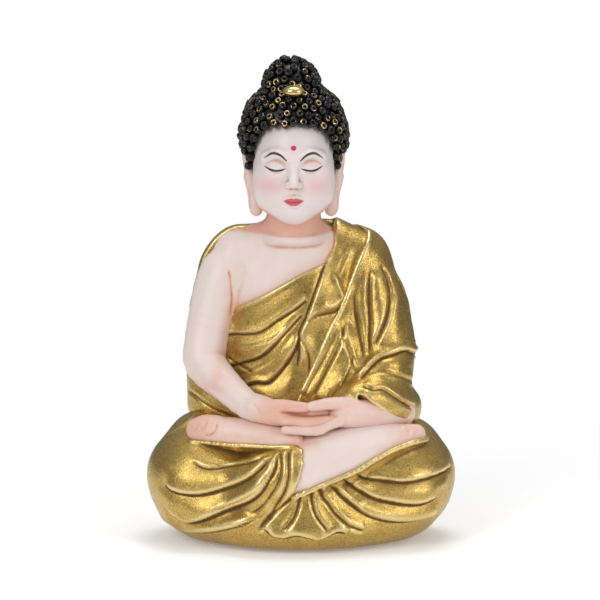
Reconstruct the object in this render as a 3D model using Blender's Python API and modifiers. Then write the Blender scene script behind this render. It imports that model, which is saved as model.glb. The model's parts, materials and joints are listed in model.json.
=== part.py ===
"""Seated Buddha statue, a hollow casting in painted resin, closed underneath by a plate and a felt pad.

The statue faces -Y, its right hand is at -X and +Z is up. The origin is on the felt's underside,
under the middle of the base. Forms are given in millimetres and built in metres.
"""
import math

import bmesh
import bpy
from mathutils import Matrix, Vector

MM = 0.001

# Driving dimensions, in millimetres.
HEIGHT = 200.0          # felt to topmost curl
FELT_THICK = 1.5
PLATE_THICK = 3.0
GAP = 0.3               # glue line between neighbouring castings
HEAD_X = -3.0           # the head stands a little to the statue's right of the base's middle
CURL_RADIUS = 2.2
CURL_PITCH = 4.4
BUN_RADIUS_Z = 11.0

RIM_Z = FELT_THICK - 0.5            # the casting's rim stands just clear of the table
PLATE_TOP = RIM_Z + PLATE_THICK + 0.6
BUN_Z = HEIGHT - CURL_RADIUS - BUN_RADIUS_Z     # the curls' centres lie on the bun's surface

# Colours as linear red, green, blue.
GOLD = (0.52, 0.34, 0.09)
SKIN = (0.86, 0.68, 0.62)
BLACK = (0.02, 0.02, 0.022)
JEWEL = (0.72, 0.50, 0.18)
ROUGE = (0.70, 0.08, 0.14)
RESIN = (0.62, 0.58, 0.52)
FELT = (0.05, 0.09, 0.05)
STEEL = (0.55, 0.55, 0.56)


# ---------------------------------------------------------------- scene and materials

def clear_scene():
    for obj in list(bpy.data.objects):
        bpy.data.objects.remove(obj, do_unlink=True)


def collection(name, hidden=False):
    made = bpy.data.collections.new(name)
    bpy.context.scene.collection.children.link(made)
    made.hide_render = hidden
    return made


def material(name, colour, roughness, metallic=0.0):
    made = bpy.data.materials.new(name)
    made.use_nodes = True
    shader = made.node_tree.nodes["Principled BSDF"]
    shader.inputs["Base Color"].default_value = (*colour, 1.0)
    shader.inputs["Roughness"].default_value = roughness
    shader.inputs["Metallic"].default_value = metallic
    return made


# ---------------------------------------------------------------- shapes, in millimetres

def add_ball(bm, centre, radii, turn=(0.0, 0.0, 0.0)):
    """An ellipsoid; turn is degrees about X, Y and Z."""
    spin = Matrix.Identity(4)
    for axis, degrees in zip("XYZ", turn):
        spin = Matrix.Rotation(math.radians(degrees), 4, axis) @ spin
    place = Matrix.Translation(Vector(centre) * MM) @ spin @ Matrix.Diagonal((*[r * MM for r in radii], 1.0))
    bmesh.ops.create_uvsphere(bm, u_segments=28, v_segments=18, radius=1.0, matrix=place)


def add_bead(bm, centre, radius):
    """A small coarse ball."""
    place = Matrix.Translation(Vector(centre) * MM)
    bmesh.ops.create_icosphere(bm, subdivisions=1, radius=radius * MM, matrix=place)


def add_limb(bm, stations):
    """A tube through stations of x, y, z and radius, round at every station."""
    for x, y, z, r in stations:
        add_ball(bm, (x, y, z), (r, r, r))
    for start, end in zip(stations, stations[1:]):
        a, b = Vector(start[:3]), Vector(end[:3])
        along = (b - a).normalized()
        place = Matrix.Translation((a + b) / 2 * MM) @ along.to_track_quat("Z", "Y").to_matrix().to_4x4()
        bmesh.ops.create_cone(
            bm, cap_ends=True, segments=28, radius1=start[3] * MM, radius2=end[3] * MM,
            depth=(b - a).length * MM, matrix=place)


def mesh_object(name, bm, group, finish=None):
    mesh = bpy.data.meshes.new(name)
    bm.to_mesh(mesh)
    bm.free()
    obj = bpy.data.objects.new(name, mesh)
    group.objects.link(obj)
    if finish:
        mesh.materials.append(finish)
    mesh.shade_smooth()
    return obj


def fused(name, group, finish, balls=(), limbs=(), voxel=1.6, smooth=4, triangles=600, beads=()):
    """One closed body from overlapping ellipsoids and tubes, with its creases softened."""
    bm = bmesh.new()
    for ball in balls:
        add_ball(bm, *ball)
    for stations in limbs:
        add_limb(bm, stations)
    for centre in beads:
        add_bead(bm, centre, CURL_RADIUS)
    obj = mesh_object(name, bm, group, finish)
    remesh = obj.modifiers.new("fuse", "REMESH")
    remesh.mode = "VOXEL"
    remesh.voxel_size = voxel * MM
    remesh.use_smooth_shade = True
    soften = obj.modifiers.new("soften", "SMOOTH")
    soften.factor = 0.5
    soften.iterations = smooth
    quads = len(obj.evaluated_get(bpy.context.evaluated_depsgraph_get()).data.polygons)
    thin = obj.modifiers.new("thin", "DECIMATE")
    thin.ratio = min(1.0, triangles / (2 * quads))
    return obj


def box(name, low, high, group):
    bm = bmesh.new()
    size = Vector(high) - Vector(low)
    middle = (Vector(high) + Vector(low)) / 2
    place = Matrix.Translation(middle * MM) @ Matrix.Diagonal((*(size * MM), 1.0))
    bmesh.ops.create_cube(bm, size=1.0, matrix=place)
    return mesh_object(name, bm, group)


def frustum(name, centre, radii, taper, heights, group, finish=None):
    """An upright oval cone or cylinder: radii at its foot, times taper at its top."""
    low, high = heights
    bm = bmesh.new()
    bmesh.ops.create_cone(
        bm, cap_ends=True, segments=40, radius1=1.0, radius2=taper, depth=(high - low) * MM)
    place = Matrix.Translation(Vector((*centre, (low + high) / 2)) * MM)
    bmesh.ops.transform(bm, matrix=place @ Matrix.Diagonal((radii[0] * MM, radii[1] * MM, 1.0, 1.0)),
                        verts=bm.verts)
    return mesh_object(name, bm, group, finish)


def curtain(name, outline, near, far, group):
    """A closed outline of x and z, extruded along Y from near to far."""
    curve = bpy.data.curves.new(name, "CURVE")
    curve.dimensions = "2D"
    curve.fill_mode = "BOTH"
    curve.extrude = (far - near) / 2 * MM
    spline = curve.splines.new("POLY")
    spline.points.add(len(outline) - 1)
    for point, (x, z) in zip(spline.points, outline):
        point.co = (x * MM, z * MM, 0.0, 1.0)
    spline.use_cyclic_u = True
    guide = bpy.data.objects.new(name + "_outline", curve)
    group.objects.link(guide)
    guide.matrix_world = Matrix.Translation((0.0, (near + far) / 2 * MM, 0.0)) @ Matrix.Rotation(math.pi / 2, 4, "X")
    bpy.context.view_layer.update()
    mesh = bpy.data.meshes.new_from_object(guide.evaluated_get(bpy.context.evaluated_depsgraph_get()))
    solid = bpy.data.objects.new(name, mesh)
    solid.matrix_world = guide.matrix_world.copy()
    group.objects.link(solid)
    bpy.data.objects.remove(guide)
    bm = bmesh.new()
    bm.from_mesh(mesh)
    bmesh.ops.remove_doubles(bm, verts=bm.verts, dist=1e-6)
    bmesh.ops.recalc_face_normals(bm, faces=bm.faces)
    bm.to_mesh(mesh)
    bm.free()
    return solid


# ---------------------------------------------------------------- cutting and fitting

def as_cutter(obj):
    obj.hide_render = True
    obj.display_type = "WIRE"
    return obj


def boolean(obj, other, operation):
    cut = obj.modifiers.new(operation.lower() + "_" + other.name, "BOOLEAN")
    cut.operation = operation
    cut.solver = "EXACT"
    cut.object = other


def with_room(obj, cutters, less=None):
    """A cutter: the whole form of obj grown by the glue line, less an opening that was cut in it."""
    swollen = obj.copy()
    swollen.data = obj.data.copy()
    swollen.name = obj.name + "_room"
    cutters.objects.link(as_cutter(swollen))
    grow = swollen.modifiers.new("grow", "DISPLACE")
    grow.strength = GAP * MM
    grow.mid_level = 0.0
    if less:
        boolean(swollen, less, "DIFFERENCE")
    return swollen


# ---------------------------------------------------------------- the statue's forms

LAP_BALLS = [
    ((-39.5, -4, 25.5), (25.2, 27, 21.5)),   # right knee
    ((39.5, -4, 25.5), (25.2, 27, 21.5)),    # left knee
    ((0, 18, 27), (44, 27, 25)),             # seat
    ((0, -13, 11), (47, 33, 16)),            # hem gathered in front
    ((0, 0, 8), (57, 38, 12)),               # cloth spread on the ground
]
LAP_LIMBS = [
    [(-40, -14, 27, 16), (-6, -27, 26, 13)],     # right shin under the robe
    [(40, -14, 24, 16), (4, -29, 19, 13)],       # left shin under the robe
]
TORSO_BALLS = [
    ((0, 12, 57), (38, 27, 27)),
    ((-1, 12, 80), (35.5, 25, 27)),
    ((-1, 11, 99), (33, 22.5, 25)),
    ((-1, 15, 117), (25, 14, 12)),
]
TORSO_LIMBS = [
    [(-26, 13.5, 112, 13), (0, 14, 114, 13), (24, 11.5, 112.5, 13.5)],
    [(-30, 13.5, 108, 13), (-34.5, 13, 84, 14), (-35, 12, 54, 14)],   # cloak behind the right arm
    [(8, 12, 119, 9), (24, 10, 114, 11)],                           # folded edge on the left shoulder
]
SLEEVE_BALLS = [((37, -2, 57), (12.5, 17, 12))]
SLEEVE_LIMBS = [
    [(26, 9, 111.5, 13), (31.5, 6, 93, 14), (34.5, 1, 74, 13), (33, -10, 62, 12), (22, -22, 56, 9)],
]
CHEST_BALLS = [
    ((-1, 9, 98), (31.5, 19, 26)),
    ((-3, 11.5, 117), (20, 11.5, 11)),
]
RIGHT_ARM_BALLS = [((-27.5, 8, 108.5), (13, 11, 14))]
RIGHT_ARM_LIMBS = [
    [(-32, 6, 106, 11), (-37.5, 2, 88, 10.5), (-38.5, -3, 75, 10), (-29, -15, 66, 8.4), (-17, -27, 58.5, 6.6)],
]
FINGER = 2.3
RIGHT_HAND_BALLS = [((-12, -30, 56), (9, 6, 4.5), (0, 10, 12))]
RIGHT_HAND_LIMBS = [
    [(-17, -27, 58.5, 6), (-10, -30, 57, 4.5)],
    [(-12, -31, 60, 2.6), (-2, -33, 60, FINGER)],                                # thumb
    *[[(-8, -33 + 2 * i, 56 - 0.6 * i, FINGER), (13, -33.5 + 2.4 * i, 55, 2)] for i in range(4)],
]
LEFT_HAND_BALLS = [((16, -29, 57), (7, 6, 6))]
LEFT_HAND_LIMBS = [
    [(27, -23, 55.5, 6.5), (17, -28, 56, 6)],
    [(14, -31, 60.5, 2.8), (4.5, -33.5, 60.5, 2.4)],        # thumb
    [(15, -31, 54, 4.5), (4, -35, 51.5, 3.2), (-6, -36, 50.5, 2.4)],     # fingers, side by side
]
LEFT_FOOT_BALLS = [
    ((-24, -22, 46.5), (21, 9, 6.5), (20, 0, 0)),
    ((-5, -25, 46), (8, 7.5, 6.5)),
    ((-41, -19, 47.5), (6, 7.5, 5)),
]
RIGHT_LEG_LIMBS = [[(-4, -30, 31, 13.5), (16, -29.5, 38, 10.5), (34, -25, 43.5, 7), (48, -19, 46, 4.4)]]

NECK = [(HEAD_X, 9, 113, 12.5), (HEAD_X, 6, 128, 11.8), (HEAD_X, 4, 138, 11.5)]
HEAD_BALLS = [
    ((HEAD_X, 3, 158), (18.2, 20, 22)),
    ((HEAD_X, -3, 149), (16.8, 15.5, 16.5)),
    ((HEAD_X, -9.5, 138.5), (9.5, 7.5, 7)),
]
EAR = [(2.2, 5, 151, 2.6), (1.2, 3.5, 142, 2.4), (0.6, 2.5, 136, 2.9)]
EAR_OUT = 15.4          # an ear's distance from the head's middle
HAIR_BALLS = [
    ((HEAD_X, 6, 166), (21.6, 21.5, 19)),
    ((HEAD_X, 6.5, 175.5), (18, 18.5, 13)),
    ((HEAD_X, 7, BUN_Z), (12.8, 13, BUN_RADIUS_Z)),
]
# The face's opening in the hair, as x from the head's middle and z.
HAIRLINE = [(-60, 60), (60, 60), (60, 150), (19, 151), (17.2, 158), (16.4, 168), (10, 171.5), (0, 172.4),
            (-10, 171.5), (-16.4, 168), (-17.2, 158), (-19, 151), (-60, 150)]
FACE_DEPTH = 5.0        # y where the face meets the hair behind it
FACE_HALF_WIDTH = 17.2
HAIRLINE_TOP = 171.0
CURL_RINGS = 9
CURL_LOWEST = -50.0     # tilt of the lowest ring of curls, in degrees
# The neckline, as x and z: bare right shoulder and breast, with the robe over the left shoulder.
NECKLINE = [(-70, 145), (-70, 97), (-28.5, 97), (-16, 102.5), (0, 111), (12, 117), (14.5, 126), (14.5, 145)]
CHEST_DEPTH = 10.0      # y of the robe's edge behind the bare shoulder
JEWEL_AT = (HEAD_X, -8.8, 184.0)
JEWEL_RADII = (4.0, 2.6, 2.4)
JEWEL_CLEAR = 5.0       # no curl is nearer the jewel than this
URNA_AT = (HEAD_X, -17.0, 162.5)

# The hollow inside the casting, open underneath, as centre, radii, taper and heights.
LAP_HOLLOW = ((0, 3), (37.0, 22.0), 0.6, (RIM_Z, 58.0))
TORSO_HOLLOW = ((0, 7), (22.0, 13.5), 0.7, (38.0, 92.0))
RECESS = (41.0, 27.0)   # radii of the rebate that takes the plate
DOWEL_AT = (HEAD_X, 3.0)
DOWEL = (2.0, 102.0, 136.0)     # radius, foot and tip


def fitted(pieces, cutter):
    """Cuts every one of these pieces back from its neighbour's grown form."""
    for piece in pieces:
        boolean(piece, cutter, "DIFFERENCE")


def curl_places():
    """Centres of the hair curls: rings round the cap, and smaller rings up the bun."""
    places = []
    for (x, y, z), (rx, ry, rz) in HAIR_BALLS:
        for ring in range(CURL_RINGS):
            tilt = math.radians(CURL_LOWEST + (90 - CURL_LOWEST) * ring / (CURL_RINGS - 1))
            count = max(1, round(math.tau * rx * math.cos(tilt) / CURL_PITCH))
            for k in range(count):
                turn = math.tau * (k + 0.5 * (ring % 2)) / count
                places.append((x + rx * math.cos(tilt) * math.sin(turn),
                               y - ry * math.cos(tilt) * math.cos(turn),
                               z + rz * math.sin(tilt)))
    return places


def is_bare(place):
    """True where a curl would lie on the face or the jewel."""
    x, y, z = place
    on_face = y < FACE_DEPTH and z < HAIRLINE_TOP and abs(x - HEAD_X) < FACE_HALF_WIDTH
    return on_face or (Vector(place) - Vector(JEWEL_AT)).length < JEWEL_CLEAR


def build():
    clear_scene()
    statue = collection("buddha_statue")
    cutters = collection("cutters", hidden=True)

    gold = material("gold_paint", GOLD, 0.38, 0.85)
    skin = material("skin_paint", SKIN, 0.45)
    black = material("hair_paint", BLACK, 0.35)
    jewel_gold = material("jewel_gold", JEWEL, 0.25, 0.9)
    red = material("urna_red", ROUGE, 0.4)
    resin = material("bare_resin", RESIN, 0.6)
    green = material("felt", FELT, 0.95)
    steel = material("steel", STEEL, 0.3, 1.0)

    lap = fused("robe_lap", statue, gold, LAP_BALLS, LAP_LIMBS, 2.4, 9, 1500)
    torso = fused("robe_torso", statue, gold, TORSO_BALLS, TORSO_LIMBS, 2.2, 8, 1400)
    sleeve = fused("left_sleeve", statue, gold, SLEEVE_BALLS, SLEEVE_LIMBS, 1.8, 4, 800)
    chest = fused("chest", statue, skin, CHEST_BALLS, (), 1.8, 4, 600)
    arm = fused("right_arm", statue, skin, RIGHT_ARM_BALLS, RIGHT_ARM_LIMBS, 1.5, 4, 700)
    foot = fused("left_foot", statue, skin, LEFT_FOOT_BALLS, (), 1.2, 4, 450)
    leg = fused("right_shin_and_foot", statue, skin, (), RIGHT_LEG_LIMBS, 1.4, 4, 500)
    right_hand = fused("right_hand", statue, skin, RIGHT_HAND_BALLS, RIGHT_HAND_LIMBS, 0.7, 2, 900)
    left_hand = fused("left_hand", statue, skin, LEFT_HAND_BALLS, LEFT_HAND_LIMBS, 0.7, 2, 900)
    head = fused("head", statue, skin, HEAD_BALLS, [NECK], 1.4, 4, 900)
    curls = [place for place in curl_places() if not is_bare(place)]
    hair = fused("hair_cap", statue, black, HAIR_BALLS, (), 1.0, 1, 3200, curls)
    ears = [
        fused(side + "_ear", statue, skin, (), [[(HEAD_X + out * (EAR_OUT + x), y, z, r) for x, y, z, r in EAR]],
              0.8, 1, 220)
        for side, out in (("right", -1), ("left", 1))
    ]
    jewel = fused("hair_jewel", statue, jewel_gold, [(JEWEL_AT, JEWEL_RADII)], (), 0.5, 1, 160)
    urna = fused("urna", statue, red, [(URNA_AT, (1.2, 0.8, 1.2))], (), 0.25, 1, 100)

    neckline = as_cutter(curtain("neckline", NECKLINE, -60, CHEST_DEPTH, cutters))
    neckline_in = as_cutter(curtain("neckline_inset", [(x - GAP, z + GAP) for x, z in NECKLINE], -60,
                                    CHEST_DEPTH - GAP, cutters))
    hair_opening = [(HEAD_X + x, z) for x, z in HAIRLINE]
    hairline = as_cutter(curtain("hairline", hair_opening, -60, FACE_DEPTH, cutters))
    inset = 1 - GAP / FACE_HALF_WIDTH
    face = as_cutter(curtain("hairline_inset", [(HEAD_X + inset * (x - HEAD_X), z - GAP) for x, z in hair_opening],
                             -60, FACE_DEPTH - GAP, cutters))

    lap_room = with_room(lap, cutters)
    torso_room = with_room(torso, cutters, less=neckline_in)
    chest_room = with_room(chest, cutters)
    sleeve_room = with_room(sleeve, cutters)
    arm_room = with_room(arm, cutters)
    foot_room = with_room(foot, cutters)
    leg_room = with_room(leg, cutters)
    right_hand_room = with_room(right_hand, cutters)
    hair_room = with_room(hair, cutters, less=face)
    head_room = with_room(head, cutters)

    fitted([torso, sleeve, arm, foot, leg, right_hand, left_hand], lap_room)
    fitted([sleeve, chest, arm, head, right_hand, left_hand], torso_room)
    fitted([arm, head, sleeve], chest_room)
    fitted([leg, right_hand, left_hand], foot_room)
    fitted([right_hand, left_hand], leg_room)
    fitted([right_hand], arm_room)
    fitted([leg, right_hand, left_hand], sleeve_room)
    fitted([left_hand], right_hand_room)
    fitted([head, jewel, *ears], hair_room)
    fitted([urna, *ears], head_room)

    boolean(torso, neckline, "DIFFERENCE")
    boolean(hair, hairline, "DIFFERENCE")
    boolean(lap, as_cutter(box("below_rim", (-90, -90, -30), (90, 90, RIM_Z), cutters)), "DIFFERENCE")
    boolean(lap, as_cutter(frustum("lap_hollow", *LAP_HOLLOW, cutters)), "DIFFERENCE")
    boolean(lap, as_cutter(frustum("plate_recess", (0, 0), RECESS, 1.0, (-5.0, PLATE_TOP), cutters)), "DIFFERENCE")
    boolean(torso, as_cutter(frustum("torso_hollow", *TORSO_HOLLOW, cutters)), "DIFFERENCE")

    radius, foot_z, tip_z = DOWEL
    hole_radii = (radius + GAP, radius + GAP)
    hole = as_cutter(frustum("dowel_hole", DOWEL_AT, hole_radii, 1.0, (foot_z - GAP, tip_z + GAP), cutters))
    fitted([torso, chest, head], hole)
    frustum("neck_dowel", DOWEL_AT, (radius, radius), 1.0, (foot_z, tip_z), statue, steel)

    plate_radii = (RECESS[0] - GAP, RECESS[1] - GAP)
    frustum("base_plate", (0, 0), plate_radii, 1.0, (FELT_THICK + GAP, PLATE_TOP - GAP), statue, resin)
    frustum("felt_pad", (0, 0), plate_radii, 1.0, (0.0, FELT_THICK), statue, green)


build()
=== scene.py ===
import json
import math

import bpy
import numpy as np
from mathutils import Matrix, Vector

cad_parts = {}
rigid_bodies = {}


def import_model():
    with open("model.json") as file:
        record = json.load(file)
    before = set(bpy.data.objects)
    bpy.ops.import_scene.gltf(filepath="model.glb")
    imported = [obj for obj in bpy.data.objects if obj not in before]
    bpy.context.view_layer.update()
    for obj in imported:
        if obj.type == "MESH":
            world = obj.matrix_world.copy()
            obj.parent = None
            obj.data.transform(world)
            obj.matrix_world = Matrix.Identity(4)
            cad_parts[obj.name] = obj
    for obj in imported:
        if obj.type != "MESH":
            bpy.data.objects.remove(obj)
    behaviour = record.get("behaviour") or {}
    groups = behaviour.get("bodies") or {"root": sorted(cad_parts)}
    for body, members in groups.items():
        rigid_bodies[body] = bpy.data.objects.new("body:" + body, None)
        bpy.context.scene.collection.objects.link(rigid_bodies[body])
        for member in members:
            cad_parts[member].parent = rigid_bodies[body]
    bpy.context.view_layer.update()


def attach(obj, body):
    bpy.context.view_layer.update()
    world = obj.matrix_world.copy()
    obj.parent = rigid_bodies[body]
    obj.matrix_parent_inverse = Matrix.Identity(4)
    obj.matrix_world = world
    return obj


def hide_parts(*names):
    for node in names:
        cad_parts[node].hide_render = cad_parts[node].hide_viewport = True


# The looks of the seated Buddha statue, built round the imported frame. Cloth, skin and hair are sculpted
# as distance fields in millimetres, meshed, carved with folds, painted with attributes, and then given a
# node material. The curls and the round pieces of the base are built ring by ring.
# The statue faces -Y, its right hand is at -X, and +Z is up.

for startup in list(bpy.data.objects):
    bpy.data.objects.remove(startup, do_unlink=True)
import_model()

MM = 0.001
HEAD_X = -3.0           # the head stands a little to the statue's right of the base's middle
RIM_Z = 1.0             # the casting's rim stands just clear of the table
PLATE_TOP = 4.6
RECESS = (41.0, 27.0)   # radii of the rebate that takes the plate
PLATE_GAP = 0.15        # the plate's clearance in it


# ================================================================ distance fields, in millimetres

def smin(a, b, k):
    """The lower of two fields, rounded over about k where they meet."""
    h = np.clip(0.5 + 0.5 * (b - a) / k, 0, 1)
    return b + (a - b) * h - k * h * (1 - h)


def smax(a, b, k):
    """The higher of two fields, rounded over about k where they meet."""
    return -smin(-a, -b, k)


def smoothstep(low, high, x):
    """0 at low and 1 at high, with an eased rise between them."""
    t = np.clip((x - low) / (high - low), 0, 1)
    return t * t * (3 - 2 * t)


def turned(degrees):
    """A rotation matrix; degrees about X, then Y, then Z."""
    spin = Matrix.Identity(3)
    for axis, angle in zip("XYZ", degrees):
        spin = Matrix.Rotation(math.radians(angle), 3, axis) @ spin
    return np.array(spin, np.float32)


def ball(centre, radii, turn=None):
    """An ellipsoid's field."""
    middle = np.array(centre, np.float32)
    size = np.array(radii, np.float32)
    spin = turned(turn) if turn else None

    def field(p):
        q = p - middle
        if spin is not None:
            q = q @ spin
        near = np.sqrt(np.square(q / size).sum(1))
        slope = np.sqrt(np.square(q / size**2).sum(1))
        return near * (near - 1) / np.maximum(slope, 1e-4)
    return field


def smooth_path(points, steps):
    """A Catmull-Rom curve through the points, with this many steps between neighbours."""
    pts = np.array(points, float)
    ext = np.vstack([2 * pts[0] - pts[1], pts, 2 * pts[-1] - pts[-2]])
    out = []
    for i in range(1, len(ext) - 2):
        a, b, c, d = ext[i - 1:i + 3]
        for t in np.arange(steps) / steps:
            out.append(0.5 * (2 * b + (c - a) * t + (2 * a - 5 * b + 4 * c - d) * t**2
                              + (3 * b - a - 3 * c + d) * t**3))
    out.append(ext[-2])
    return np.array(out)


def limb(stations, steps=3, blend=0.6):
    """A round tube through stations of x, y, z and radius."""
    path = smooth_path(stations, steps) if len(stations) > 2 else np.array(stations)
    path = path.astype(np.float32)

    def field(p):
        best = None
        for a, b in zip(path, path[1:]):
            along = b[:3] - a[:3]
            t = np.clip((p - a[:3]) @ along / (along @ along), 0, 1)
            radius = a[3] + t * (b[3] - a[3])
            d = np.sqrt(np.square(p - a[:3] - t[:, None] * along).sum(1)) - radius
            best = d if best is None else smin(best, d, blend)
        return best
    return field


def union(k, *fields):
    """Fields joined into one, rounded over about k where they meet."""
    def field(p):
        best = fields[0](p)
        for other in fields[1:]:
            best = smin(best, other(p), k)
        return best
    return field


def less(k, field, *cutters, gap=0.0):
    """A field with others, grown by gap, cut out of it."""
    def cut(p):
        d = field(p)
        for cutter in cutters:
            d = smax(d, gap - cutter(p), k)
        return d
    return cut


def polygon(outline):
    """Signed distance to a closed outline of x and z, negative inside, for every y."""
    pts = np.array(outline, np.float32)

    def field(p):
        q = p[:, [0, 2]]
        nearest = np.full(len(q), 1e9, np.float32)
        inside = np.zeros(len(q), bool)
        for a, b in zip(pts, np.roll(pts, -1, axis=0)):
            along = b - a
            t = np.clip((q - a) @ along / (along @ along), 0, 1)
            nearest = np.minimum(nearest, np.square(q - a - t[:, None] * along).sum(1))
            crosses = (a[1] > q[:, 1]) != (b[1] > q[:, 1])
            rise = b[1] - a[1] if b[1] != a[1] else 1e-6
            inside ^= crosses & (q[:, 0] < along[0] * (q[:, 1] - a[1]) / rise + a[0])
        d = np.sqrt(nearest)
        return np.where(inside, -d, d)
    return field


def gradient(field, p, here=None, reach=0.12):
    """The field's slope by forward differences."""
    here = field(p) if here is None else here
    out = np.empty_like(p)
    for axis in range(3):
        step = np.zeros(3, np.float32)
        step[axis] = reach
        out[:, axis] = (field(p + step) - here) / reach
    return out


# ================================================================ meshing

BLOCK = 8               # grid samples along one side of a block
NEAR = 1.25             # a block this many block widths or less from the surface is sampled in full
BATCH = 400000          # grid samples worked out at once


def sampled(field, low, high, step):
    """The field on a grid, worked out only in the blocks that its surface passes through."""
    low = np.array(low, np.float32)
    blocks = np.ceil((np.array(high) - low) / (step * BLOCK)).astype(int)
    cells = np.stack(np.meshgrid(*[np.arange(n) for n in blocks], indexing="ij"), -1)
    centres = (cells + 0.5) * BLOCK * step + low
    rough = field(centres.reshape(-1, 3).astype(np.float32)).reshape(blocks)
    near = np.abs(rough) < BLOCK * step * NEAR

    def spread(values):
        for axis in range(3):
            values = np.repeat(values, BLOCK, axis=axis)
        return values
    grid = spread(rough.astype(np.float32))
    todo = np.argwhere(spread(near))
    for start in range(0, len(todo), BATCH):
        part = todo[start:start + BATCH]
        grid[part[:, 0], part[:, 1], part[:, 2]] = field(low + part.astype(np.float32) * step)
    return grid, low


def surface_net(grid, low, step):
    """Vertices and quads of the grid's zero surface, faces turned outwards."""
    inside = grid < 0
    corner = [(i, j, k) for i in (0, 1) for j in (0, 1) for k in (0, 1)]
    shape = np.array(grid.shape) - 1

    def shifted(values, at):
        return values[at[0]:at[0] + shape[0], at[1]:at[1] + shape[1], at[2]:at[2] + shape[2]]
    count = sum(shifted(inside, c).astype(np.int8) for c in corner)
    cells = np.argwhere((count > 0) & (count < 8))
    number = np.full(shape, -1, np.int64)
    number[cells[:, 0], cells[:, 1], cells[:, 2]] = np.arange(len(cells))
    total = np.zeros((len(cells), 3))
    hits = np.zeros(len(cells))
    for a in corner:
        for axis in range(3):
            if a[axis]:
                continue
            b = list(a)
            b[axis] = 1
            va = grid[cells[:, 0] + a[0], cells[:, 1] + a[1], cells[:, 2] + a[2]]
            vb = grid[cells[:, 0] + b[0], cells[:, 1] + b[1], cells[:, 2] + b[2]]
            crosses = (va < 0) != (vb < 0)
            t = np.where(crosses, va / np.where(crosses, va - vb, 1), 0)
            at = np.tile(np.array(a, float), (len(cells), 1))
            at[:, axis] = t
            total += at * crosses[:, None]
            hits += crosses
    points = low + (cells + total / hits[:, None]) * step
    quads = []
    for axis in range(3):
        u, v = [(1, 2), (2, 0), (0, 1)][axis]
        ahead = np.zeros(3, int)
        ahead[axis] = 1
        one = inside[:-1, :-1, :-1]
        two = shifted(inside, ahead)
        found = np.argwhere(one != two)
        found = found[(found[:, u] > 0) & (found[:, v] > 0)]
        eu, ev = np.zeros(3, int), np.zeros(3, int)
        eu[u], ev[v] = 1, 1
        steps = ((1, 1), (0, 1), (0, 0), (1, 0))
        quad = np.stack([number[tuple((found - du * eu - dv * ev).T)] for du, dv in steps], 1)
        outward = one[tuple(found.T)]
        quad[~outward] = quad[~outward][:, ::-1]
        quads.append(quad)
    return points, np.concatenate(quads)


class Sculpt:
    """A closed quad mesh in millimetres, with named values at its vertices."""

    def __init__(self, field, low, high, step, rounds=2):
        grid, low = sampled(field, low, high, step)
        self.points, self.quads = surface_net(grid, low, step)
        self.field = field
        self.step = step
        self.paint = {}
        pairs = np.concatenate([self.quads[:, [0, 1]], self.quads[:, [1, 2]],
                                self.quads[:, [2, 3]], self.quads[:, [3, 0]]])
        pairs = np.unique(np.sort(pairs, axis=1), axis=0)
        self.ends = np.concatenate([pairs, pairs[:, ::-1]])
        self.degree = np.bincount(self.ends[:, 0], minlength=len(self.points))
        for _ in range(rounds):
            self.points = 0.4 * self.points + 0.6 * self.averaged(self.points)
            p = self.points.astype(np.float32)
            here = field(p)
            slope = gradient(field, p, here)
            off = here / np.maximum(np.square(slope).sum(1), 0.2)
            self.points = self.points - np.clip(off, -step, step)[:, None] * slope

    def averaged(self, values):
        """Each vertex's mean of its neighbours' values."""
        flat = values.reshape(len(values), -1)
        out = np.empty(flat.shape)
        for column in range(flat.shape[1]):
            out[:, column] = np.bincount(self.ends[:, 0], weights=flat[self.ends[:, 1], column],
                                         minlength=len(flat))
        return (out / self.degree[:, None]).reshape(values.shape)

    def blurred(self, values, rounds):
        for _ in range(rounds):
            values = 0.3 * values + 0.7 * self.averaged(values)
        return values

    def normals(self):
        a, b, c, d = (self.points[self.quads[:, i]] for i in range(4))
        across = np.cross(c - a, d - b)
        out = np.zeros_like(self.points)
        for i in range(4):
            for column in range(3):
                out[:, column] += np.bincount(self.quads[:, i], weights=across[:, column],
                                              minlength=len(self.points))
        return out / np.maximum(np.linalg.norm(out, axis=1), 1e-9)[:, None]

    def hollowness(self, rounds):
        """Millimetres that each vertex lies below (positive) the surface blurred over some rounds."""
        return ((self.blurred(self.points, rounds) - self.points) * self.normals()).sum(1)


# ================================================================ folds

AXIS_Y = 8.0            # the upright axis that guides "round" the statue aim at
CARVE_BATCH = 20000     # vertices carved at once


def lifted(field, folds):
    """Each fold's guide laid on a surface: x and z seen from the front, or azimuth and z seen all round."""
    starts, aims = [], []
    for f in folds:
        path = smooth_path(f["points"], 8)
        if f["view"] == "front":
            starts.append(np.stack([path[:, 0], np.full(len(path), -75.0), path[:, 1]], 1))
            aims.append(np.tile([0.0, 1.0, 0.0], (len(path), 1)))
        else:
            turn = np.radians(path[:, 0])
            out = np.stack([np.sin(turn), -np.cos(turn), np.zeros(len(path))], 1)
            start = np.array([0, AXIS_Y, 0]) + 90 * out
            start[:, 2] = path[:, 1]
            starts.append(start)
            aims.append(-out)
    at = np.concatenate(starts).astype(np.float32)
    aim = np.concatenate(aims).astype(np.float32)
    best, closest = at.copy(), np.full(len(at), 1e9)
    for _ in range(60):
        d = field(at)
        better = d < closest
        best[better] = at[better]
        closest = np.where(better, d, closest)
        at = at + aim * np.maximum(d * 0.8, 0.0)[:, None]
    return np.split(best, np.cumsum([len(start) for start in starts])[:-1])


def fold(points, left, right, groove, ends):
    """One fold line. left and right are the height beside the line and how far it reaches; groove is the
    depth and width of the line itself; ends are the lengths over which it fades in and out."""
    return {"points": points, "left": left, "right": right, "groove": groove, "ends": ends, "view": "front"}


def seen_round(folds):
    """The folds with their points taken as azimuth in degrees and z, instead of x and z from the front."""
    return [dict(f, view="round") for f in folds]


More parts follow.
